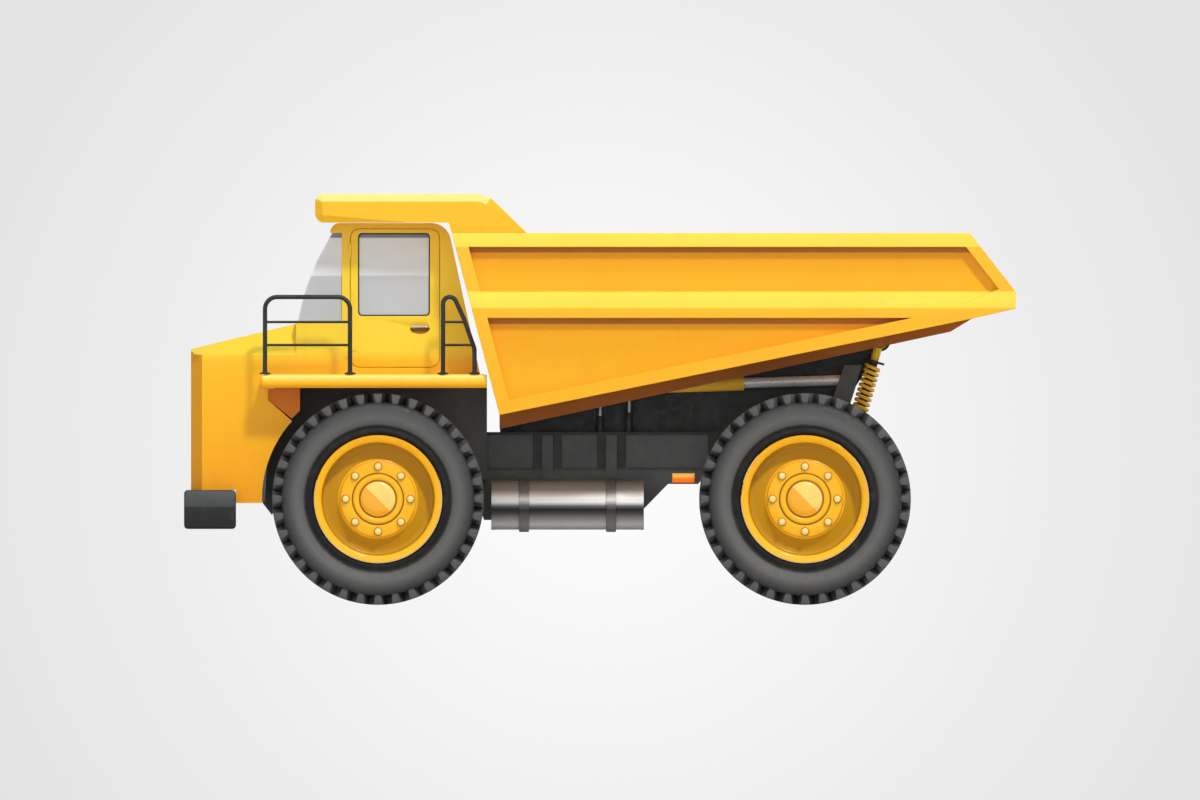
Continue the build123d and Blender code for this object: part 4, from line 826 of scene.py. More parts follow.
# %% Ring rule
def ring_rule():
    tree, given, out = rule("ring_of_copies", {"Copy": "Object", "Count": "Int", "Phase": "Float"})
    points = add(tree, "GeometryNodePoints", {"Count": given.outputs["Count"]})
    index = add(tree, "GeometryNodeInputIndex", {})
    step = add(tree, "ShaderNodeMath", {0: 2 * math.pi, 1: given.outputs["Count"]}, operation="DIVIDE")
    turned = add(tree, "ShaderNodeMath", {0: index.outputs[0], 1: given.outputs["Phase"]}, operation="ADD")
    angle = add(tree, "ShaderNodeMath", {0: turned.outputs[0], 1: step.outputs[0]}, operation="MULTIPLY")
    axis = add(tree, "ShaderNodeCombineXYZ", {"Y": angle.outputs[0]})
    turn = add(tree, "FunctionNodeEulerToRotation", {0: axis.outputs[0]})
    copy = add(tree, "GeometryNodeObjectInfo", {"Object": given.outputs["Copy"]})
    copies = add(tree, "GeometryNodeInstanceOnPoints", {
        "Points": points.outputs[0], "Instance": copy.outputs["Geometry"], "Rotation": turn.outputs[0]})
    return close_rule(tree, given, out, copies.outputs[0])


ring_of_copies = ring_rule()


def ring_of(name, mesh, count, phase, finish):
    seed = pattern_object(name + "_one", mesh)
    ring = grow(ring_of_copies, name, bpy.data.meshes.new(name + "_start"),
                {"Copy": seed, "Count": count, "Phase": phase, "Finish": finishes[finish]})
    bpy.data.objects.remove(seed)
    return ring


print("rules:", ring_of_copies.name)

# %% [markdown]
# ## Wheels
# A tyre or rim is a shape of revolution, so a lathe makes it: a profile of radius and width is turned about
# the axle. The profile is the one place where its form is decided, from the bead in the rim's seat, over the
# bulge of the side wall, to the shoulder under the lugs. The lathe also writes each point's radius to the
# ring attribute.

# %% Lathe
def lathe(name, profile, coats, steps=96, closed=False):
    """Turn a profile of (radius, y) about the y axis. Each coat is (finish, first segment it covers)."""
    bm = bmesh.new()
    ring = bm.verts.layers.float.new("ring")
    slant = bm.verts.layers.float.new("slant")
    loops = []
    for radius, y in profile:
        loop = []
        for index in range(steps if radius > 1e-6 else 1):
            angle = 2 * math.pi * index / steps
            corner = bm.verts.new((radius * math.sin(angle), y, radius * math.cos(angle)))
            corner[ring] = radius
            corner[slant] = (corner.co.z - corner.co.x) * math.sqrt(0.5)
            loop.append(corner)
        loops.append(loop)
    pairs = list(zip(loops, loops[1:])) + ([(loops[-1], loops[0])] if closed else [])
    for place, (near, far) in enumerate(pairs):
        coat = max(number for number, (_, first) in enumerate(coats) if first <= place)
        for facet in bridge(bm, near, far):
            facet.material_index = coat
    bmesh.ops.recalc_face_normals(bm, faces=bm.faces)
    return plain_mesh(bm, name, [finish for finish, _ in coats], 40)


print("lathe ready")

# %% [markdown]
# ### Tyre
# The carcass is one closed lathe profile. The lugs are two rows of bars, one from each shoulder to just past
# the middle of the tread, half a pitch apart, so that from the side the gaps of one row show the bars of the
# other and the outline stays round.

# %% Tyre
rim_seat = 0.641
tread_floor = 0.968
tyre_edge = 1.059
lug_count = 36

tyre_half = [(rim_seat, 0.2), (0.648, 0.238), (0.662, 0.258), (0.682, 0.262), (0.7, 0.254), (0.722, 0.252),
             (0.742, 0.262), (0.752, 0.272), (0.79, 0.288), (0.83, 0.297), (0.865, 0.299), (0.9, 0.294),
             (0.93, 0.283), (0.948, 0.272), (0.958, 0.258), (tread_floor, 0.235), (tread_floor, 0.12)]
tyre_profile = [(radius, -y) for radius, y in tyre_half] + [(radius, y) for radius, y in reversed(tyre_half)]


def lug_mesh(side):
    """One tread bar at the top of the wheel: wide at the road, narrow at its root, skewed across the tread."""
    bm = bmesh.new()
    ring = bm.verts.layers.float.new("ring")
    stations = [(0.262, 0.0, 0.028, 0.936, 0.98), (0.255, 0.0, 0.041, 0.945, tyre_edge - 0.016),
                (0.236, 0.002, 0.047, 0.945, tyre_edge), (0.1, 0.018, 0.05, 0.945, tyre_edge),
                (-0.02, 0.05, 0.046, 0.945, tyre_edge), (-0.05, 0.06, 0.03, 0.945, tyre_edge - 0.03)]
    rows = []
    for y, shift, half, root, top in stations:
        row = []
        for x, z in ((-0.72 * half, root), (-half, top), (half, top), (0.72 * half, root)):
            reach = math.hypot(x + shift, z)
            lift = min(1.0, tyre_edge / reach)
            corner = bm.verts.new(((x + shift) * lift, side * y, z * lift))
            corner[ring] = 0.93 + 0.13 * (z - root) / max(top - root, 0.01) if y > 0.24 else 1.06
            row.append(corner)
        rows.append(row)
    for near, far in zip(rows, rows[1:]):
        bridge(bm, near, far)
    bm.faces.new(rows[0])
    bm.faces.new(rows[-1][::-1])
    bmesh.ops.recalc_face_normals(bm, faces=bm.faces)
    sharp = [edge for edge in bm.edges if edge.calc_face_angle(0) > 0.7]
    bmesh.ops.bevel(bm, geom=sharp, offset=0.006, segments=2, profile=0.5, affect="EDGES", clamp_overlap=True)
    return plain_mesh(bm, "lug", angle=30)


def joined(name, parts):
    """Several meshes as one, each moved by its matrix, keeping materials and attributes."""
    objects = []
    for mesh, matrix in parts:
        copy = mesh.copy()
        copy.transform(matrix)
        if matrix.determinant() < 0:
            copy.flip_normals()
        objects.append(pattern_object(name + "_part", copy))
    with bpy.context.temp_override(active_object=objects[0], object=objects[0], selected_objects=objects,
                                   selected_editable_objects=objects):
        bpy.ops.object.join()
    mesh = objects[0].data
    bpy.data.objects.remove(objects[0])
    mesh.name = name
    return mesh


carcass = lathe("carcass", tyre_profile, [("tyre_rubber", 0)], steps=120, closed=True)
lug_rows = [(ring_of("lug_row", lug_mesh(side), lug_count, phase, "tyre_rubber"), upright)
            for side, phase in ((1, 0.0), (-1, 0.5))]
tyre = joined("tyre", [(carcass, upright)] + lug_rows)
print("tyre:", len(tyre.polygons), "faces,", 2 * lug_count, "lugs")

# %% [markdown]
# ### Rim
# The rim is one profile as well: the rolled lip that holds the bead, the barrel wall behind it, a dish that
# falls back towards the barrel, then the hub flange with its grooves and the cap. The dish, the barrel wall
# and the grooves are a darker gold, a painted shade for these hollows. The nuts are a ring of domed caps on
# washers in the same painted shade.

# %% Rim
rim_profile = [
    (0.0, 0.206), (0.11, 0.206), (0.15, 0.202), (0.168, 0.194), (0.174, 0.186), (0.18, 0.181), (0.192, 0.181),
    (0.2, 0.187), (0.208, 0.19), (0.234, 0.19), (0.242, 0.186), (0.248, 0.176), (0.256, 0.172), (0.264, 0.174),
    (0.36, 0.166), (0.374, 0.16), (0.38, 0.148), (0.382, 0.11), (0.4, 0.1),
    (0.44, 0.085), (0.5, 0.066), (0.535, 0.062), (0.55, 0.07), (0.558, 0.1), (0.562, 0.19), (0.566, 0.23),
    (0.574, 0.244), (0.584, 0.25), (0.6, 0.256), (0.622, 0.26), (0.634, 0.262), (0.6385, 0.256),
    (0.6385, -0.256), (0.63, -0.26), (0.562, -0.26), (0.558, -0.25), (0.555, 0.03), (0.54, 0.02), (0.21, 0.06),
    (0.2, 0.05), (0.2, -0.02), (0.111, -0.02), (0.111, 0.14), (0.0, 0.14)]
rim_coats = [("cap_gold", 0), ("groove_gold", 4), ("wheel_paint", 6), ("groove_gold", 11), ("wheel_paint", 13),
             ("gold_dish", 18), ("wheel_paint", 25), ("gold_dish", 34)]
barrel_profile = [(0.6385, -0.256), (0.63, -0.26), (0.568, -0.26), (0.562, -0.25), (0.562, 0.25), (0.568, 0.26),
                  (0.63, 0.26), (0.6385, 0.256)]


nut_count, nut_circle, nut_seat = 8, 0.325, 0.168


def on_circle(name, profile, sides=16):
    """A small turned piece at the top of the bolt circle, from (radius, lift) pairs."""
    bm = bmesh.new()
    turns = [2 * math.pi * index / sides for index in range(sides)]
    loops = [[bm.verts.new((radius * math.cos(turn), nut_seat + lift, nut_circle + radius * math.sin(turn)))
              for turn in (turns if radius else turns[:1])] for radius, lift in profile]
    for near, far in zip(loops, loops[1:]):
        bridge(bm, near, far)
    bmesh.ops.recalc_face_normals(bm, faces=bm.faces)
    return plain_mesh(bm, name, angle=40)


washer_profile = [(0.043, 0.0), (0.043, 0.008), (0.041, 0.011), (0.0, 0.011)]
nut_profile = [(0.036, 0.01), (0.036, 0.022), (0.034, 0.028), (0.027, 0.037), (0.016, 0.0425), (0.0, 0.044)]
rim = lathe("rim", rim_profile, rim_coats, steps=96)
barrel = lathe("barrel", barrel_profile, [("gold_dish", 0)], steps=96, closed=True)
nuts = joined("nuts", [
    (ring_of("washers", on_circle("washer", washer_profile), nut_count, 0.0, "groove_gold"), upright),
    (ring_of("domes", on_circle("dome", nut_profile), nut_count, 0.0, "nut_gold"), upright)])
print("rim:", len(rim.polygons), "faces and", nut_count, "nuts")

# %% [markdown]
# ### Wheels on their hubs
# The front wheels are single and the rear ones are twins that a drum joins. The tyre and rim are moved to
# each hub in their meshes, so every object stays at the origin. The right side is a mirror image across the
# truck.

# %% Wheels on their hubs
def hub_place(x, y, z, side):
    return Matrix.Translation((x, side * y, z)) @ Matrix.Diagonal((1, side, 1, 1))


front_y, rear_y, twin_step = 1.6, 1.62, 0.68
drum_profile = [(0.555, -0.26), (0.555, 0.66), (0.52, 0.66), (0.52, -0.26)]
drum = lathe("drum", drum_profile, [("gold_dish", 0)], steps=64, closed=True)
for name, side in (("left", 1), ("right", -1)):
    front = hub_place(front_x, front_y, hub_z, side)
    outer = hub_place(rear_x, rear_y, hub_z, side)
    inner = hub_place(rear_x, rear_y - twin_step, hub_z, side)
    piece("front_tyre_rubber_" + name, joined("front_tyre", [(tyre, front)]), "front_wheel_" + name,
          ["front_tyre_" + name])
    piece("front_rim_steel_" + name, joined("front_rim", [(rim, front), (nuts, front)]), "front_wheel_" + name,
          ["front_rim_" + name])
    piece("rear_tyre_rubber_" + name, joined("rear_tyre", [(tyre, outer), (tyre, inner)]),
          "rear_wheels_" + name, ["rear_tyres_" + name])
    rear_rim = [(rim, outer), (nuts, outer), (barrel, inner), (drum, inner)]
    piece("rear_rim_steel_" + name, joined("rear_rim", rear_rim), "rear_wheels_" + name,
          ["rear_rims_" + name])
print("wheels: 2 front, 2 twin rear")

# %% [markdown]
# ## Rear springs and struts
# Each rear strut carries a coil spring between a cup at its foot and a collar near its head. The CAD model
# holds the space with a stack of rings; the real piece is one wire. A spiral curve with a round section gives
# it, and a matrix lays it along the strut, which leans to the rear. The strut's head above the collar is
# painted yellow and the rest of it black.

# %% Spring rule
def spring_rule():
    tree, given, out = rule("coil_spring", {"Radius": "Float", "Wire": "Float", "Height": "Float",
                                            "Turns": "Float"})
    coil = add(tree, "GeometryNodeCurveSpiral", {
        "Resolution": 26, "Rotations": given.outputs["Turns"], "Start Radius": given.outputs["Radius"],
        "End Radius": given.outputs["Radius"], "Height": given.outputs["Height"]})
    section = add(tree, "GeometryNodeCurvePrimitiveCircle", {"Resolution": 10, "Radius": given.outputs["Wire"]})
    wire = add(tree, "GeometryNodeCurveToMesh", {"Curve": coil.outputs[0], "Profile Curve": section.outputs[0],
                                                 "Fill Caps": True})
    round_off = add(tree, "GeometryNodeSetShadeSmooth", {"Geometry": wire.outputs[0]})
    return close_rule(tree, given, out, round_off.outputs[0])


def along(start, end):
    """A matrix that stands a piece built on +Z on start, pointing to end."""
    direction = Vector(end) - Vector(start)
    return Matrix.Translation(start) @ direction.to_track_quat("Z", "Y").to_matrix().to_4x4()


coil_spring = spring_rule()
strut_foot, strut_head = Vector((-2.426, 0.45, 1.35)), Vector((-2.8, 0.45, 2.64))
strut_line = (strut_head - strut_foot).normalized()
strut_gap = 0.9
spring_low, spring_high, head_start = 0.112, 1.094, 1.15
# The wire takes the hoists' lighter yellow, a painted light.
coil = grow(coil_spring, "coil", bpy.data.meshes.new("coil_start"), {
    "Radius": 0.069, "Wire": 0.0178, "Height": spring_high - spring_low, "Turns": 19.0,
    "Finish": finishes["hoist_paint"]})
left_coil = along(strut_foot + spring_low * strut_line, strut_head)
right_coil = Matrix.Translation((0, -strut_gap, 0)) @ left_coil
piece("rear_spring_wire", joined("springs", [(coil, left_coil), (coil, right_coil)]), "chassis",
      ["rear_springs"])


def strut_top(place, normal):
    return (place - Vector((strut_foot.x, place.y, strut_foot.z))).dot(strut_line) > head_start


struts = dress("rear_struts", 0.006, "black_paint")
second_coat(struts, "yellow_paint", strut_top)
print("springs:", len(coil.polygons), "faces each")

# %% [markdown]
# ## Tubes along a path
# Handrails and window seals are one section carried along a path with rounded corners. The rule takes a chain
# of edges, turns it into a curve, rounds its corners and sweeps a round section along it. A curve object with
# a bevel would do as well, but here the path, the bend and the tube are named inputs of one rule.

# %% Tube rule
def tube_rule():
    tree, given, out = rule("tube_on_path", {"Bend": "Float", "Tube": "Float", "Sides": "Int"})
    path = add(tree, "GeometryNodeMeshToCurve", {"Mesh": given.outputs["Geometry"]})
    bent = add(tree, "GeometryNodeFilletCurve", {"Curve": path.outputs[0], "Radius": given.outputs["Bend"],
                                                 "Count": 10, "Limit Radius": True}, mode="POLY")
    section = add(tree, "GeometryNodeCurvePrimitiveCircle", {"Resolution": given.outputs["Sides"],
                                                             "Radius": given.outputs["Tube"]})
    tube = add(tree, "GeometryNodeCurveToMesh", {"Curve": bent.outputs[0], "Profile Curve": section.outputs[0],
                                                 "Fill Caps": True})
    round_off = add(tree, "GeometryNodeSetShadeSmooth", {"Geometry": tube.outputs[0]})
    return close_rule(tree, given, out, round_off.outputs[0])


tube_on_path = tube_rule()


def tube(name, points, radius, finish, bend=0.0, closed=False, sides=14):
    chain = bpy.data.meshes.new(name + "_path")
    edges = [(index, index + 1) for index in range(len(points) - 1)]
    if closed:
        edges.append((len(points) - 1, 0))
    chain.from_pydata(points, edges, [])
    values = {"Bend": bend, "Tube": radius, "Sides": sides, "Finish": finishes[finish]}
    return grow(tube_on_path, name, chain, values)


print("rules:", coil_spring.name, tube_on_path.name)

# %% [markdown]
# ### Arch plates
# Beside each front wheel a brown plate closes the notch between the nose and the deck, and a narrow dark
# lip closes the front edge of the arch. The plate's brown is a painted shade of the yellow. Each is a flat
# outline with a thickness. One edge of the brown plate follows a circle about the wheel's hub.

# %% Arch plates
arch_reach, arch_turns = 1.178, (43, 44.5, 46, 47.5)
arch_front, arch_rear, arch_low, arch_foot, arch_high = 3.319, 3.0, 2.05, 1.943, 2.168
arch_plate_y, lip_plate_y = (1.461, 1.463), (1.4565, 1.4585)
arch_outline = [(arch_front, arch_high), (arch_front, arch_low)]
arch_outline += [(front_x + arch_reach * math.cos(math.radians(turn)),
                  hub_z + arch_reach * math.sin(math.radians(turn))) for turn in arch_turns]
arch_outline += [(arch_rear, arch_foot), (arch_rear, arch_high)]
lip_outline = [(3.352, 1.03), (3.42, 1.03), (3.42, 1.4), (3.33, 1.4)]


def flat_plate(name, outline, y_low, y_high, finish):
    """A plate of this (x, z) outline between two values of y."""
    bm = bmesh.new()
    near, far = ([bm.verts.new((x, y, z)) for x, z in outline] for y in (y_low, y_high))
    bm.faces.new(near)
    bm.faces.new(far)
    bridge(bm, near, far)
    bmesh.ops.recalc_face_normals(bm, faces=bm.faces)
    return plain_mesh(bm, name, [finish])


arch_plates = []
for side in (1, -1):
    for name, outline, depths, finish in (("arch", arch_outline, arch_plate_y, "arch_paint"),
                                          ("lip", lip_outline, lip_plate_y, "well_black")):
        low, high = sorted(side * y for y in depths)
        arch_plates.append((flat_plate(name, outline, low, high, finish), upright))
piece("arch_plate_set", joined("arch_plates", arch_plates), "chassis")
print("arch plates:", len(arch_plates))

# %% [markdown]
# ### Handrails
# Two rails stand on each side of the deck: a long one beside the nose and a short one, with a leaning rear
# leg, behind the door. Every post ends in a round foot with a small weld, which the tubes alone would lack.

# %% Handrails
rail_y, rail_top, rail_tube = 1.87, 3.08, 0.0225
rung_heights, rung_tube = (2.83, 2.6), 0.013
long_front, long_back, short_front, short_back = 3.35, 2.5, 1.57, 1.255
shoulder_x, knee_z, lean_point = 1.46, 2.56, (1.36, 2.86)


def foot_mesh():
    profile = [(0.0, 0.0), (0.052, 0.0), (0.055, 0.003), (0.055, 0.011), (0.051, 0.015), (0.034, 0.016),
               (0.027, 0.02), (0.0235, 0.032), (0.0, 0.034)]
    mesh = lathe("rail_foot", profile, [("black_paint", 0)], steps=28)
    mesh.transform(Matrix.Rotation(math.radians(90), 4, "X"))
    return mesh


def railing(y):
    """Both rails of one side, as tubes with their feet."""
    def bar(name, places, radius, bend=0.0):
        return tube(name, [(x, y, z) for x, z in places], radius, "black_paint", bend)

    parts = [bar("long_rail", [(long_front, deck_top), (long_front, rail_top), (long_back, rail_top),
                               (long_back, deck_top)], rail_tube, 0.12),
             bar("short_rail", [(short_front, deck_top), (short_front, rail_top), (shoulder_x, rail_top),
                                lean_point, (short_back, knee_z), (short_back, deck_top)], rail_tube, 0.085)]
    lean = (shoulder_x - short_back) / (rail_top - knee_z)
    for z in rung_heights:
        parts.append(bar("rung", [(long_front, z), (long_back, z)], rung_tube))
        parts.append(bar("rung", [(short_front, z), (short_back + lean * (z - knee_z), z)], rung_tube))
    foot = foot_mesh()
    feet = [(foot, Matrix.Translation((x, y, deck_top - 0.001)))
            for x in (long_front, long_back, short_front, short_back)]
    return [(part, upright) for part in parts] + feet


rail_mesh = joined("rails", railing(rail_y) + railing(-rail_y))
piece("handrail_tubes", rail_mesh, "chassis", ["handrails"])
print("handrails:", len(rail_mesh.polygons), "faces")

# %% [markdown]
# ### Window seals
# Each pane sits in a rubber seal, a soft bead along the edge of its opening. The same tube rule makes it,
# half sunk into the edge. The door's seal rides on the door, so that it swings with it.

# %% Window seals
window_front, window_rear, window_low, window_high = 2.414, 1.706, 2.896, 3.714
door_seal_y, side_seal_y = (1.4835, 1.4525), (-0.0835, -0.0525)
rear_foot, rear_head = Vector((1.2, 0, deck_top)), Vector((1.4799, 0, 3.6))


def seal_pair(name, depths):
    """A bead on the outer and the inner edge of a side window."""
    corners = ((window_rear, window_low), (window_front, window_low), (window_front, window_high),
               (window_rear, window_high))
    return [(tube(name, [(x, y, z) for x, z in corners], 0.007, "seal_rubber", 0.04, True, 10), upright)
            for y in depths]


def rear_wall_point(y, z, inset):
    share = (z - rear_foot.z) / (rear_head.z - rear_foot.z)
    return (rear_foot.x + share * (rear_head.x - rear_foot.x) + inset, y, z)


piece("door_window_seal", joined("door_seal", seal_pair("door_seal", door_seal_y)), "cab_door")
side_seals = seal_pair("side_seal", side_seal_y)
rear_seal = tube("rear_seal", [rear_wall_point(y, z, 0.022) for y, z in
                               ((0.156, 2.856), (1.244, 2.856), (1.244, 3.444), (0.156, 3.444))],
                 0.011, "seal_rubber", 0.03, True, 10)
piece("cab_window_seals", joined("cab_seals", side_seals + [(rear_seal, upright)]), "chassis")
print("seals: door, side and rear window")

# %% [markdown]
# ## Tanks
# A fuel tank is a rolled sheet with pressed ends. The ends are domed a little and set in, so a rolled seam
# stands round each of them. A lathe makes it, as it made the wheels, and a quarter turn lays it along the
# truck.

# %% Tanks
tank_x, tank_y, tank_z = 0.325, 0.87, 1.0
seam_radius, sheet_radius = 0.249, 0.2465
tank_half = [(0.0, 0.748), (0.09, 0.747), (0.17, 0.742), (0.215, 0.733), (0.229, 0.724), (0.236, 0.73),
             (0.24, 0.755), (0.244, 0.763), (seam_radius, 0.76), (seam_radius, 0.735), (sheet_radius, 0.729),
             (sheet_radius, 0.55), (sheet_radius, 0.25)]
tank_profile = tank_half + [(radius, -y) for radius, y in reversed(tank_half)]
tank = lathe("tank", tank_profile, [("tank_metal", 0)], steps=96)
lay_down = Matrix.Rotation(math.radians(90), 4, "Z")
tanks = joined("tanks_dressed", [(tank, Matrix.Translation((tank_x, side * tank_y, tank_z)) @ lay_down)
                                 for side in (1, -1)])
piece("tank_shells", tanks, "chassis", ["tanks"])
print("tanks:", len(tanks.polygons), "faces")

# %% [markdown]
# ## Hoists, pins and small steel
# The barrels are painted yellow and the rods are chromed, because a seal slides on them. The barrels' yellow is
# a lighter copy, painted light for where the bed shades them, and the rods' near-white finish is a painted
# reflection. The eye at the rod's end is black. The bed's pivot pin takes the brown painted shade. The bed's
# rest posts are bright pins in black sleeves, turned by the lathe. The other small steel pieces only need
# their edges rounded.

# %% Hoists, pins and small steel
rod_eye_x = -2.36
for name in ("left", "right"):
    dress("hoist_barrel_" + name, 0.006, "hoist_paint")
    rod = dress("hoist_rod_" + name, 0.004, "rod_chrome")
    second_coat(rod, "black_paint", lambda place, normal: place.x < rod_eye_x)
for node in ("tie_rod", "front_struts"):
    dress(node, 0.005, "black_paint")
# The pivot pin takes the brown painted shade.
dress("bed_pivot_pin", 0.005, "amber_paint")
post_foot_z, post_y = 1.7305, 0.44
post_profile = [(0.0, 1.0), (0.0235, 1.0), (0.0235, 0.58), (0.027, 0.575), (0.0345, 0.57), (0.0355, 0.55),
                (0.0355, 0.0), (0.0, 0.0)]
posts = []
for x, top in ((0.0, 2.0065), (-0.29, 2.0695)):
    rise = top - post_foot_z
    shape = lathe("post", [(radius, share * rise) for radius, share in post_profile],
                  [("bright_steel", 0), ("black_paint", 3)], steps=32)
    shape.transform(Matrix.Rotation(math.radians(90), 4, "X"))
    posts += [(shape, Matrix.Translation((x, y, post_foot_z))) for y in (post_y, -post_y)]
piece("rest_post_set", joined("rest_posts", posts), "chassis", ["bed_rest_posts"])
dress("steering_wheel", 0.0, "dark_plastic")
print("small steel dressed")

# %% [markdown]
# ## Door handle
# The handle is a chromed lever over a half-round finger cup that is pressed into the door skin. A dark disc
# would only look right from the side, so the cup is really cut: a half cylinder is taken out of the door
# panel.

# %% Door handle
def half_round(name, centre, radius, y_low, y_high, steps=20):
    """A half cylinder that hangs below its centre line, for cutting."""
    bm = bmesh.new()
    rows = [[bm.verts.new((centre[0] + radius * math.cos(math.pi * index / steps), y,
                           centre[1] - 0.62 * radius * math.sin(math.pi * index / steps)))
             for index in range(steps + 1)] for y in (y_low, y_high)]
    for index in range(steps):
        bm.faces.new([rows[0][index], rows[0][index + 1], rows[1][index + 1], rows[1][index]])
    bm.faces.new([rows[0][0], rows[1][0], rows[1][-1], rows[0][-1]])
    bm.faces.new(rows[0])
    bm.faces.new(rows[1])
    bmesh.ops.recalc_face_normals(bm, faces=bm.faces)
    return plain_mesh(bm, name)


def cut_out(made, cutter_mesh):
    """Take a shape out of a dressed panel and keep the result as its plain mesh."""
    cutter = pattern_object("cutter", cutter_mesh)
    cut = made.modifiers.new("cut", "BOOLEAN")
    cut.operation, cut.solver, cut.object = "DIFFERENCE", "EXACT", cutter
    mesh = frozen(made)
    mesh.name = made.data.name
    made.data = mesh
    bpy.data.objects.remove(cutter)
    smooth(mesh)


handle_x, handle_z = 1.8, 2.785
cup_radius, cup_low_z, cup_high_z = 0.1, 2.69, 2.78


def inside_cup(place, normal):
    near_handle = abs(place.x - handle_x) < cup_radius and cup_low_z < place.z < cup_high_z
    return near_handle and door_face - 0.032 < place.y < door_face - 0.002


door_skin = scene.objects["cab_door_skin"]
cup = half_round("cup_cutter", (handle_x, handle_z - 0.012), cup_radius, door_face - 0.03, door_face + 0.06)
cut_out(door_skin, cup)
# The cup's inside takes the darker gold, a painted shade.
second_coat(door_skin, "groove_gold", inside_cup)
print("cup facets:", sum(1 for facet in door_skin.data.polygons if facet.material_index))


def lever_mesh():
    """The lever: a flat bar that swells at its boss and curls in at its free end."""
    bm = bmesh.new()
    stations = [(1.888, 0.004, 0.012), (1.884, 0.01, 0.016), (1.862, 0.012, 0.019), (1.83, 0.01, 0.014),
                (1.77, 0.0095, 0.0125), (1.735, 0.009, 0.012), (1.716, 0.007, 0.01), (1.711, 0.003, 0.006)]
    rows = []
    for x, deep, tall in stations:
        middle = door_face + (0.03 if x > 1.84 else 0.042)
        rows.append([bm.verts.new((x, middle + deep * math.cos(math.pi * turn / 6),
                                   handle_z + tall * math.sin(math.pi * turn / 6))) for turn in range(12)])
    for near, far in zip(rows, rows[1:]):
        bridge(bm, near, far)
    bm.faces.new(rows[0])
    bm.faces.new(rows[-1])
    bmesh.ops.recalc_face_normals(bm, faces=bm.faces)
    return plain_mesh(bm, "lever", ["polished_metal"], 50)


boss_profile = [(0.0, 0.0), (0.02, 0.0), (0.02, 0.024), (0.017, 0.028), (0.0, 0.028)]
boss = lathe("lever_boss", boss_profile, [("polished_metal", 0)], steps=24)
boss_place = Matrix.Translation((1.866, door_face - 0.001, handle_z))
lever = joined("lever", [(lever_mesh(), upright), (boss, boss_place)])
piece("door_lever", lever, "cab_door", ["door_handle"])
print("door handle:", len(lever.polygons), "faces")

# %% [markdown]
# ## Lamps
# A headlamp is a black bezel, two bright bowls and a clear pane. The side lamp on the frame is one amber
# moulding: smooth above, ribbed below so that it spreads its light. A grid of points pushed out by a small
# formula gives the moulding, which is how its real tool is cut: one surface, with ribs that fade towards the
# rim.

# %% Lamps
def slab(bm, low, high):
    """A closed box between two corners."""
    corners = [bm.verts.new((x, y, z)) for x in (low[0], high[0]) for y in (low[1], high[1])
               for z in (low[2], high[2])]
    for order in ((0, 1, 3, 2), (4, 6, 7, 5), (0, 4, 5, 1), (2, 3, 7, 6), (0, 2, 6, 4), (1, 5, 7, 3)):
        bm.faces.new([corners[index] for index in order])


def rounded(name, slabs, radius, finish, steps=2):
    """Boxes with rounded edges as one mesh."""
    bm = bmesh.new()
    for low, high in slabs:
        slab(bm, low, high)
    bmesh.ops.recalc_face_normals(bm, faces=bm.faces)
    bmesh.ops.bevel(bm, geom=bm.edges[:], offset=radius, segments=steps, profile=0.5, affect="EDGES",
                    clamp_overlap=True)
    return plain_mesh(bm, name, [finish], 35)


def headlamp(y):
    back, front, half_y, low, high, lip = 4.051, 4.085, 0.14, 1.46, 1.66, 0.022
    bezel = rounded("bezel", [
        ((back, y - half_y, low), (front, y + half_y, low + lip)),
        ((back, y - half_y, high - lip), (front, y + half_y, high)),
        ((back, y - half_y, low + 0.6 * lip), (front, y - half_y + lip, high - 0.6 * lip)),
        ((back, y + half_y - lip, low + 0.6 * lip), (front, y + half_y, high - 0.6 * lip)),
        ((back, y - half_y + 0.01, low + 0.01), (back + 0.004, y + half_y - 0.01, high - 0.01))],
                    0.004, "lamp_shell")
    pane = rounded("pane", [((front - 0.01, y - half_y + 0.9 * lip, low + 0.9 * lip),
                             (front - 0.005, y + half_y - 0.9 * lip, high - 0.9 * lip))], 0.0015, "clear_lens")
    bowl_profile = [(0.0, 0.006), (0.012, 0.0065), (0.03, 0.009), (0.046, 0.014), (0.056, 0.02), (0.058, 0.022),
                    (0.062, 0.022), (0.062, 0.004), (0.0, 0.004)]
    bowl = lathe("bowl", bowl_profile, [("lamp_mirror", 0)], steps=40)
    bulb = lathe("bulb", [(0.0, 0.02), (0.006, 0.019), (0.009, 0.014), (0.009, 0.006), (0.0, 0.006)],
                 [("clear_lens", 0)], steps=16)
    face_out = Matrix.Rotation(math.radians(-90), 4, "Z")
    parts = [(bezel, upright), (pane, upright)]
    for shift in (-0.0605, 0.0605):
        place = Matrix.Translation((back + 0.001, y + shift, 0.5 * (low + high))) @ face_out
        parts += [(bowl, place), (bulb, place)]
    return parts


lamps = joined("headlamps_dressed", headlamp(1.12) + headlamp(-1.12))
piece("headlamp_units", lamps, "chassis", ["headlamps"])


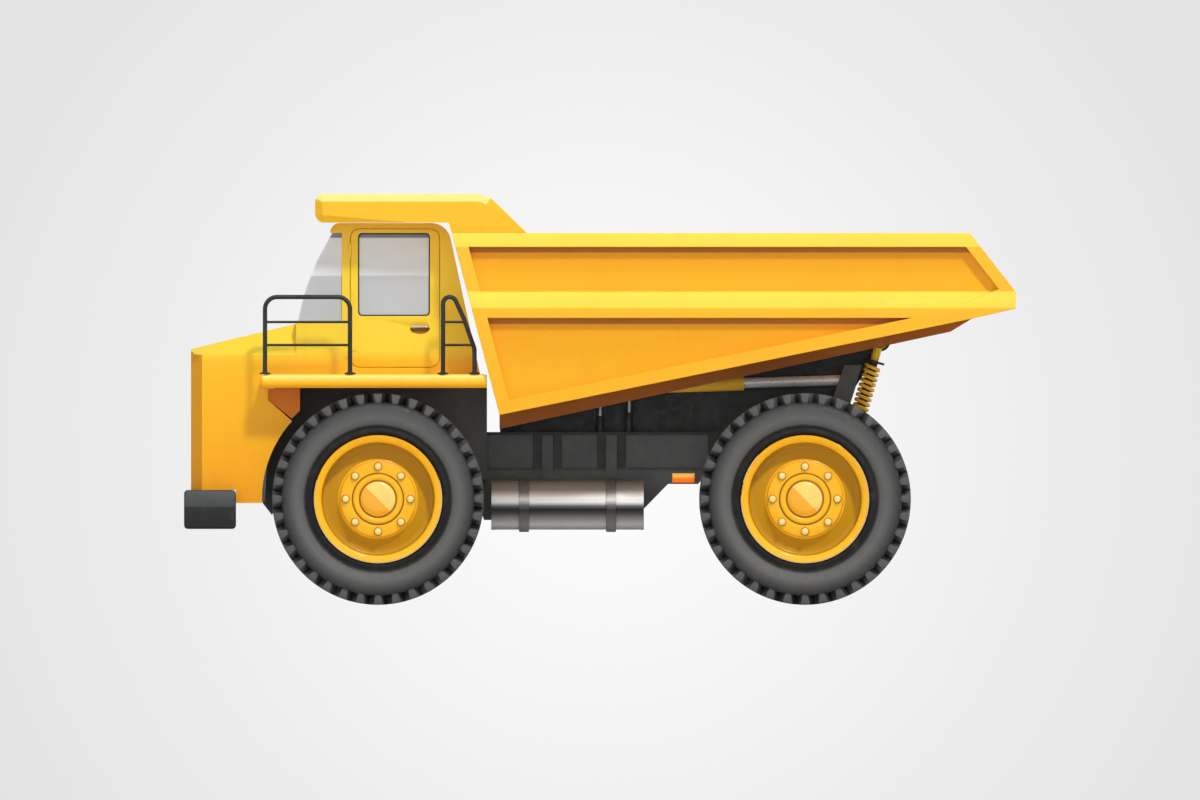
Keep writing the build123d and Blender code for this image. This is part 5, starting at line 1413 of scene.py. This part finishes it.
def side_lamp(side):
    """The amber lens of one side: a grid pushed out from its base, with ribs on its lower part."""
    across, up = 97, 33
    low_x, high_x, low_z, high_z, base, reach = -0.948, -0.722, 1.222, 1.318, 0.5215, 0.04
    bm = bmesh.new()
    rows = []
    for line in range(up):
        v = line / (up - 1)
        row = []
        for mark in range(across):
            u = mark / (across - 1)
            rim = min(1.0, 14 * u, 14 * (1 - u)) ** 0.5 * min(1.0, 7 * v, 7 * (1 - v)) ** 0.5
            ribs = 0.0045 * abs(math.sin(math.pi * 8 * u)) if 0.1 < v < 0.52 else 0.0
            row.append(bm.verts.new((low_x + u * (high_x - low_x), side * (base + rim * (reach - ribs)),
                                     low_z + v * (high_z - low_z))))
        rows.append(row)
    for near, far in zip(rows, rows[1:]):
        for mark in range(across - 1):
            bm.faces.new([near[mark], near[mark + 1], far[mark + 1], far[mark]])
    edge = [row[0] for row in rows] + rows[-1][1:] + [row[-1] for row in reversed(rows[:-1])] + rows[0][-2:0:-1]
    bm.faces.new(edge)
    bmesh.ops.recalc_face_normals(bm, faces=bm.faces)
    return plain_mesh(bm, "side_lens", ["amber_lens"], 50)


lenses = joined("side_lenses", [(side_lamp(side), upright) for side in (1, -1)])
piece("side_lamp_lenses", lenses, "chassis", ["side_lamps"])
print("lamps: 2 headlamps, 2 side lamps")

# %% [markdown]
# ## Grille and radiator
# Behind the grille's bars stands the radiator: a core of thin fins between two header tanks. More than a
# hundred fins are one fin and a rule: a row of points, each with a copy. The grille itself only needs its
# edges rounded.

# %% Grille and radiator
def row_rule():
    tree, given, out = rule("row_of_copies", {"Copy": "Object", "Count": "Int", "Start": "Vector",
                                              "Step": "Vector"})
    line = add(tree, "GeometryNodeMeshLine", {
        "Count": given.outputs["Count"], "Start Location": given.outputs["Start"],
        "Offset": given.outputs["Step"]})
    copy = add(tree, "GeometryNodeObjectInfo", {"Object": given.outputs["Copy"]})
    copies = add(tree, "GeometryNodeInstanceOnPoints", {"Points": line.outputs[0],
                                                        "Instance": copy.outputs["Geometry"]})
    return close_rule(tree, given, out, copies.outputs[0])


row_of_copies = row_rule()


def row_of(name, mesh, count, start, step, finish):
    seed = pattern_object(name + "_one", mesh)
    row = grow(row_of_copies, name, bpy.data.meshes.new(name + "_start"),
               {"Copy": seed, "Count": count, "Start": start, "Step": step, "Finish": finishes[finish]})
    bpy.data.objects.remove(seed)
    return row


core_low, core_high, core_half = 1.3, 2.32, 0.79
core_back, core_front = 3.934, 4.046
fin_count, tube_count = 132, 26
fin_edge = core_half - 0.025
fin = rounded("fin", [((3.945, -0.0015, core_low + 0.06), (4.044, 0.0015, core_high - 0.06))], 0.0005,
              "bright_steel", 1)
fins = row_of("fins", fin, fin_count, (0, -fin_edge, 0), (0, 2 * fin_edge / (fin_count - 1), 0), "bright_steel")
core = rounded("core", [
    ((core_back, -core_half, core_low), (core_front, core_half, core_low + 0.07)),
    ((core_back, -core_half, core_high - 0.07), (core_front, core_half, core_high)),
    ((core_back, -core_half, core_low + 0.05), (core_front, -core_half + 0.02, core_high - 0.05)),
    ((core_back, core_half - 0.02, core_low + 0.05), (core_front, core_half, core_high - 0.05)),
    ((core_back, -core_half + 0.01, core_low + 0.05), (core_back + 0.01, core_half - 0.01, core_high - 0.05))],
               0.006, "black_paint")
tube_bar = rounded("water_tube", [((3.99, -core_half + 0.015, -0.004), (4.0, core_half - 0.015, 0.004))], 0.002,
                   "bright_steel", 1)
tube_step = (core_high - core_low - 0.18) / (tube_count - 1)
tubes = row_of("tubes", tube_bar, tube_count, (0, 0, core_low + 0.09), (0, 0, tube_step), "bright_steel")
piece("radiator_core", joined("radiator_core", [(core, upright), (fins, upright), (tubes, upright)]), "chassis",
      ["radiator"])
dress("grille", 0.003, "black_paint")
print("radiator:", fin_count, "fins")

# %% [markdown]
# ## Driver's seat
# A seat is foam under a sewn cover. The foam pushes the cover out in the middle of each face while the seams
# hold the edges, so the pad is crowned and its sides pull in between the corners. Blender's Cloth gives that:
# a plain pad is remeshed, blown up with a little pressure and no gravity, and the result is kept as its mesh.
# Each point's way is capped, so the pad stays inside its place in the cab. The sewn channels are pressed in
# afterwards.

# %% Seat fabric
def seat_fabric():
    finish = Finish("seat_fabric", Sheen_Weight=0.35, Sheen_Roughness=0.5, Specular_IOR_Level=0.25)
    warp = finish.node("ShaderNodeTexWave", wave_type="BANDS", bands_direction="Y")
    weft = finish.node("ShaderNodeTexWave", wave_type="BANDS", bands_direction="Z")
    for weave in (warp, weft):
        finish.feed(weave.inputs["Vector"], finish.place)
        weave.inputs["Scale"].default_value = 95
        weave.inputs["Distortion"].default_value = 0.6
    threads = finish.math("MULTIPLY", warp.outputs["Fac"], weft.outputs["Fac"])
    worn = finish.noise(7, detail=5)
    cloth = finish.ramp(threads, [(0.1, srgb(38, 40, 44)), (0.9, srgb(66, 68, 74))])
    finish.colour(finish.mix(finish.span(worn, 0.5, 0.8, 0.0, 0.3), cloth, srgb(88, 86, 82)))
    finish.rough(finish.span(worn, 0.3, 0.7, 0.75, 0.92))
    finish.bump(threads, 0.0012, 0.5)
    finishes["seat_fabric"] = finish.material


seat_fabric()
print("seat fabric woven from two bands")

# %% Cushions
cloth_frames = 20


def pad_mesh(name, length, width, height):
    """A plain pad with rounded edges, standing on zero."""
    corners = ((-length / 2, -width / 2, 0), (length / 2, width / 2, height))
    return rounded(name, [corners], 0.03, "seat_fabric", 3)


def blown(mesh, cap, voxel=0.011, pressure=4.0):
    """The pad as a cushion: remeshed and pushed out by cloth pressure, no point further than the cap."""
    holder = pattern_object("pad", mesh)
    remesh = holder.modifiers.new("voxels", "REMESH")
    remesh.mode, remesh.voxel_size = "VOXEL", voxel
    fine = frozen(holder)
    holder.data = fine
    start = [corner.co.copy() for corner in fine.vertices]
    cloth = holder.modifiers.new("cover", "CLOTH")
    cloth.settings.use_pressure = True
    cloth.settings.uniform_pressure_force = pressure
    cloth.settings.effector_weights.gravity = 0
    cloth.settings.quality = 5
    cloth.point_cache.frame_start, cloth.point_cache.frame_end = 1, cloth_frames
    for moment in range(1, cloth_frames + 1):
        scene.frame_set(moment)
    fine = frozen(holder)
    scene.frame_set(1)
    for corner, first in zip(fine.vertices, start):
        way = corner.co - first
        if way.length > cap:
            corner.co = first + way * (cap / way.length)
    bpy.data.objects.remove(holder)
    return fine


def channels(mesh, places, depth=0.009, width=0.011, along_x=True):
    """Press sewn channels into the top of a pad."""
    for corner in mesh.vertices:
        if corner.normal.z > 0.3:
            for place in places:
                away = (corner.co.x if along_x else corner.co.y) - place
                corner.co.z -= depth * math.exp(-(away / width) ** 2)
    mesh.update()


def cushion(name, mesh, matrix):
    mesh.transform(matrix)
    mesh.materials.clear()
    mesh.materials.append(finishes["seat_fabric"])
    smooth(mesh, 180)
    made = piece(name, mesh, "chassis")
    finer = made.modifiers.new("finer", "SUBSURF")
    finer.levels = finer.render_levels = 1


seat_x, seat_y = 1.9, 0.85
seat_place = Vector((seat_x, seat_y, 2.7)) + Vector((0.0, 0, 0.018))
seat_pad = blown(pad_mesh("seat_pad", 0.462, 0.48, 0.105), 0.018)
channels(seat_pad, (-0.1, 0.02, 0.14))
channels(seat_pad, (-0.15, 0.15), along_x=False)
cushion("seat_cushion", seat_pad, Matrix.Translation(seat_place))
back_pad = blown(pad_mesh("back_pad", 0.655, 0.44, 0.075), 0.016)
channels(back_pad, (-0.2, -0.06, 0.08, 0.22))
lean = math.atan2(0.06, 0.7)
stand_up = Matrix.Rotation(math.radians(-90) - lean, 4, "Y")
cushion("seat_back_cushion", back_pad, Matrix.Translation((1.644, seat_y, 3.175)) @ stand_up)
print("cushions:", len(seat_pad.polygons), "and", len(back_pad.polygons), "faces")

# %% [markdown]
# ### Seat base
# Under the cushion is a pan on a suspension that a bellows covers, and a thin shell carries the back cushion.
# The bellows is a stack of loops, wide and narrow in turn.

# %% Seat base
bellows_corners = ((1, 0.8), (0.8, 1), (-0.8, 1), (-1, 0.8), (-1, -0.8), (-0.8, -1), (0.8, -1), (1, -0.8))


def bellows(name, half, low, high, folds, finish):
    bm = bmesh.new()
    rows = []
    for level in range(2 * folds + 1):
        reach = half - (0.014 if level % 2 else 0.0)
        z = low + (high - low) * level / (2 * folds)
        rows.append([bm.verts.new((seat_x + x * reach, seat_y + y * reach, z)) for x, y in bellows_corners])
    for near, far in zip(rows, rows[1:]):
        bridge(bm, near, far)
    bm.faces.new(rows[0])
    bm.faces.new(rows[-1])
    bmesh.ops.recalc_face_normals(bm, faces=bm.faces)
    return plain_mesh(bm, name, [finish], 25)


skirt = bellows("bellows", 0.158, 2.385, 2.665, 6, "seal_rubber")
pan = rounded("pan", [((1.742, 0.692, 2.3705), (2.058, 1.008, 2.39)),
                      ((1.665, 0.612, 2.66), (2.138, 1.088, 2.703))], 0.008, "dark_plastic")
shell_plate = rounded("back_shell", [((-0.33, -0.215, -0.012), (0.335, 0.215, 0.004))], 0.005, "dark_plastic")
shell_place = Matrix.Translation((1.638, seat_y, 3.18)) @ stand_up
base = joined("seat_base", [(skirt, upright), (pan, upright), (shell_plate, shell_place)])
piece("seat_base_unit", base, "chassis", ["driver_seat"])
print("seat: 2 cushions on a base")

# %% [markdown]
# ## CAD nodes shown as they are
# The CAD nodes that no dressed piece stands for are shown as they are, in the window glass finish.
# The dressed truck has to stay inside the CAD model's box.

# %% CAD nodes shown as they are
for name, made in frame["nodes"].items():
    if not made.hide_render:
        made.data.materials.clear()
        made.data.materials.append(finishes["window_glass"])
        print("shown as it is:", name)
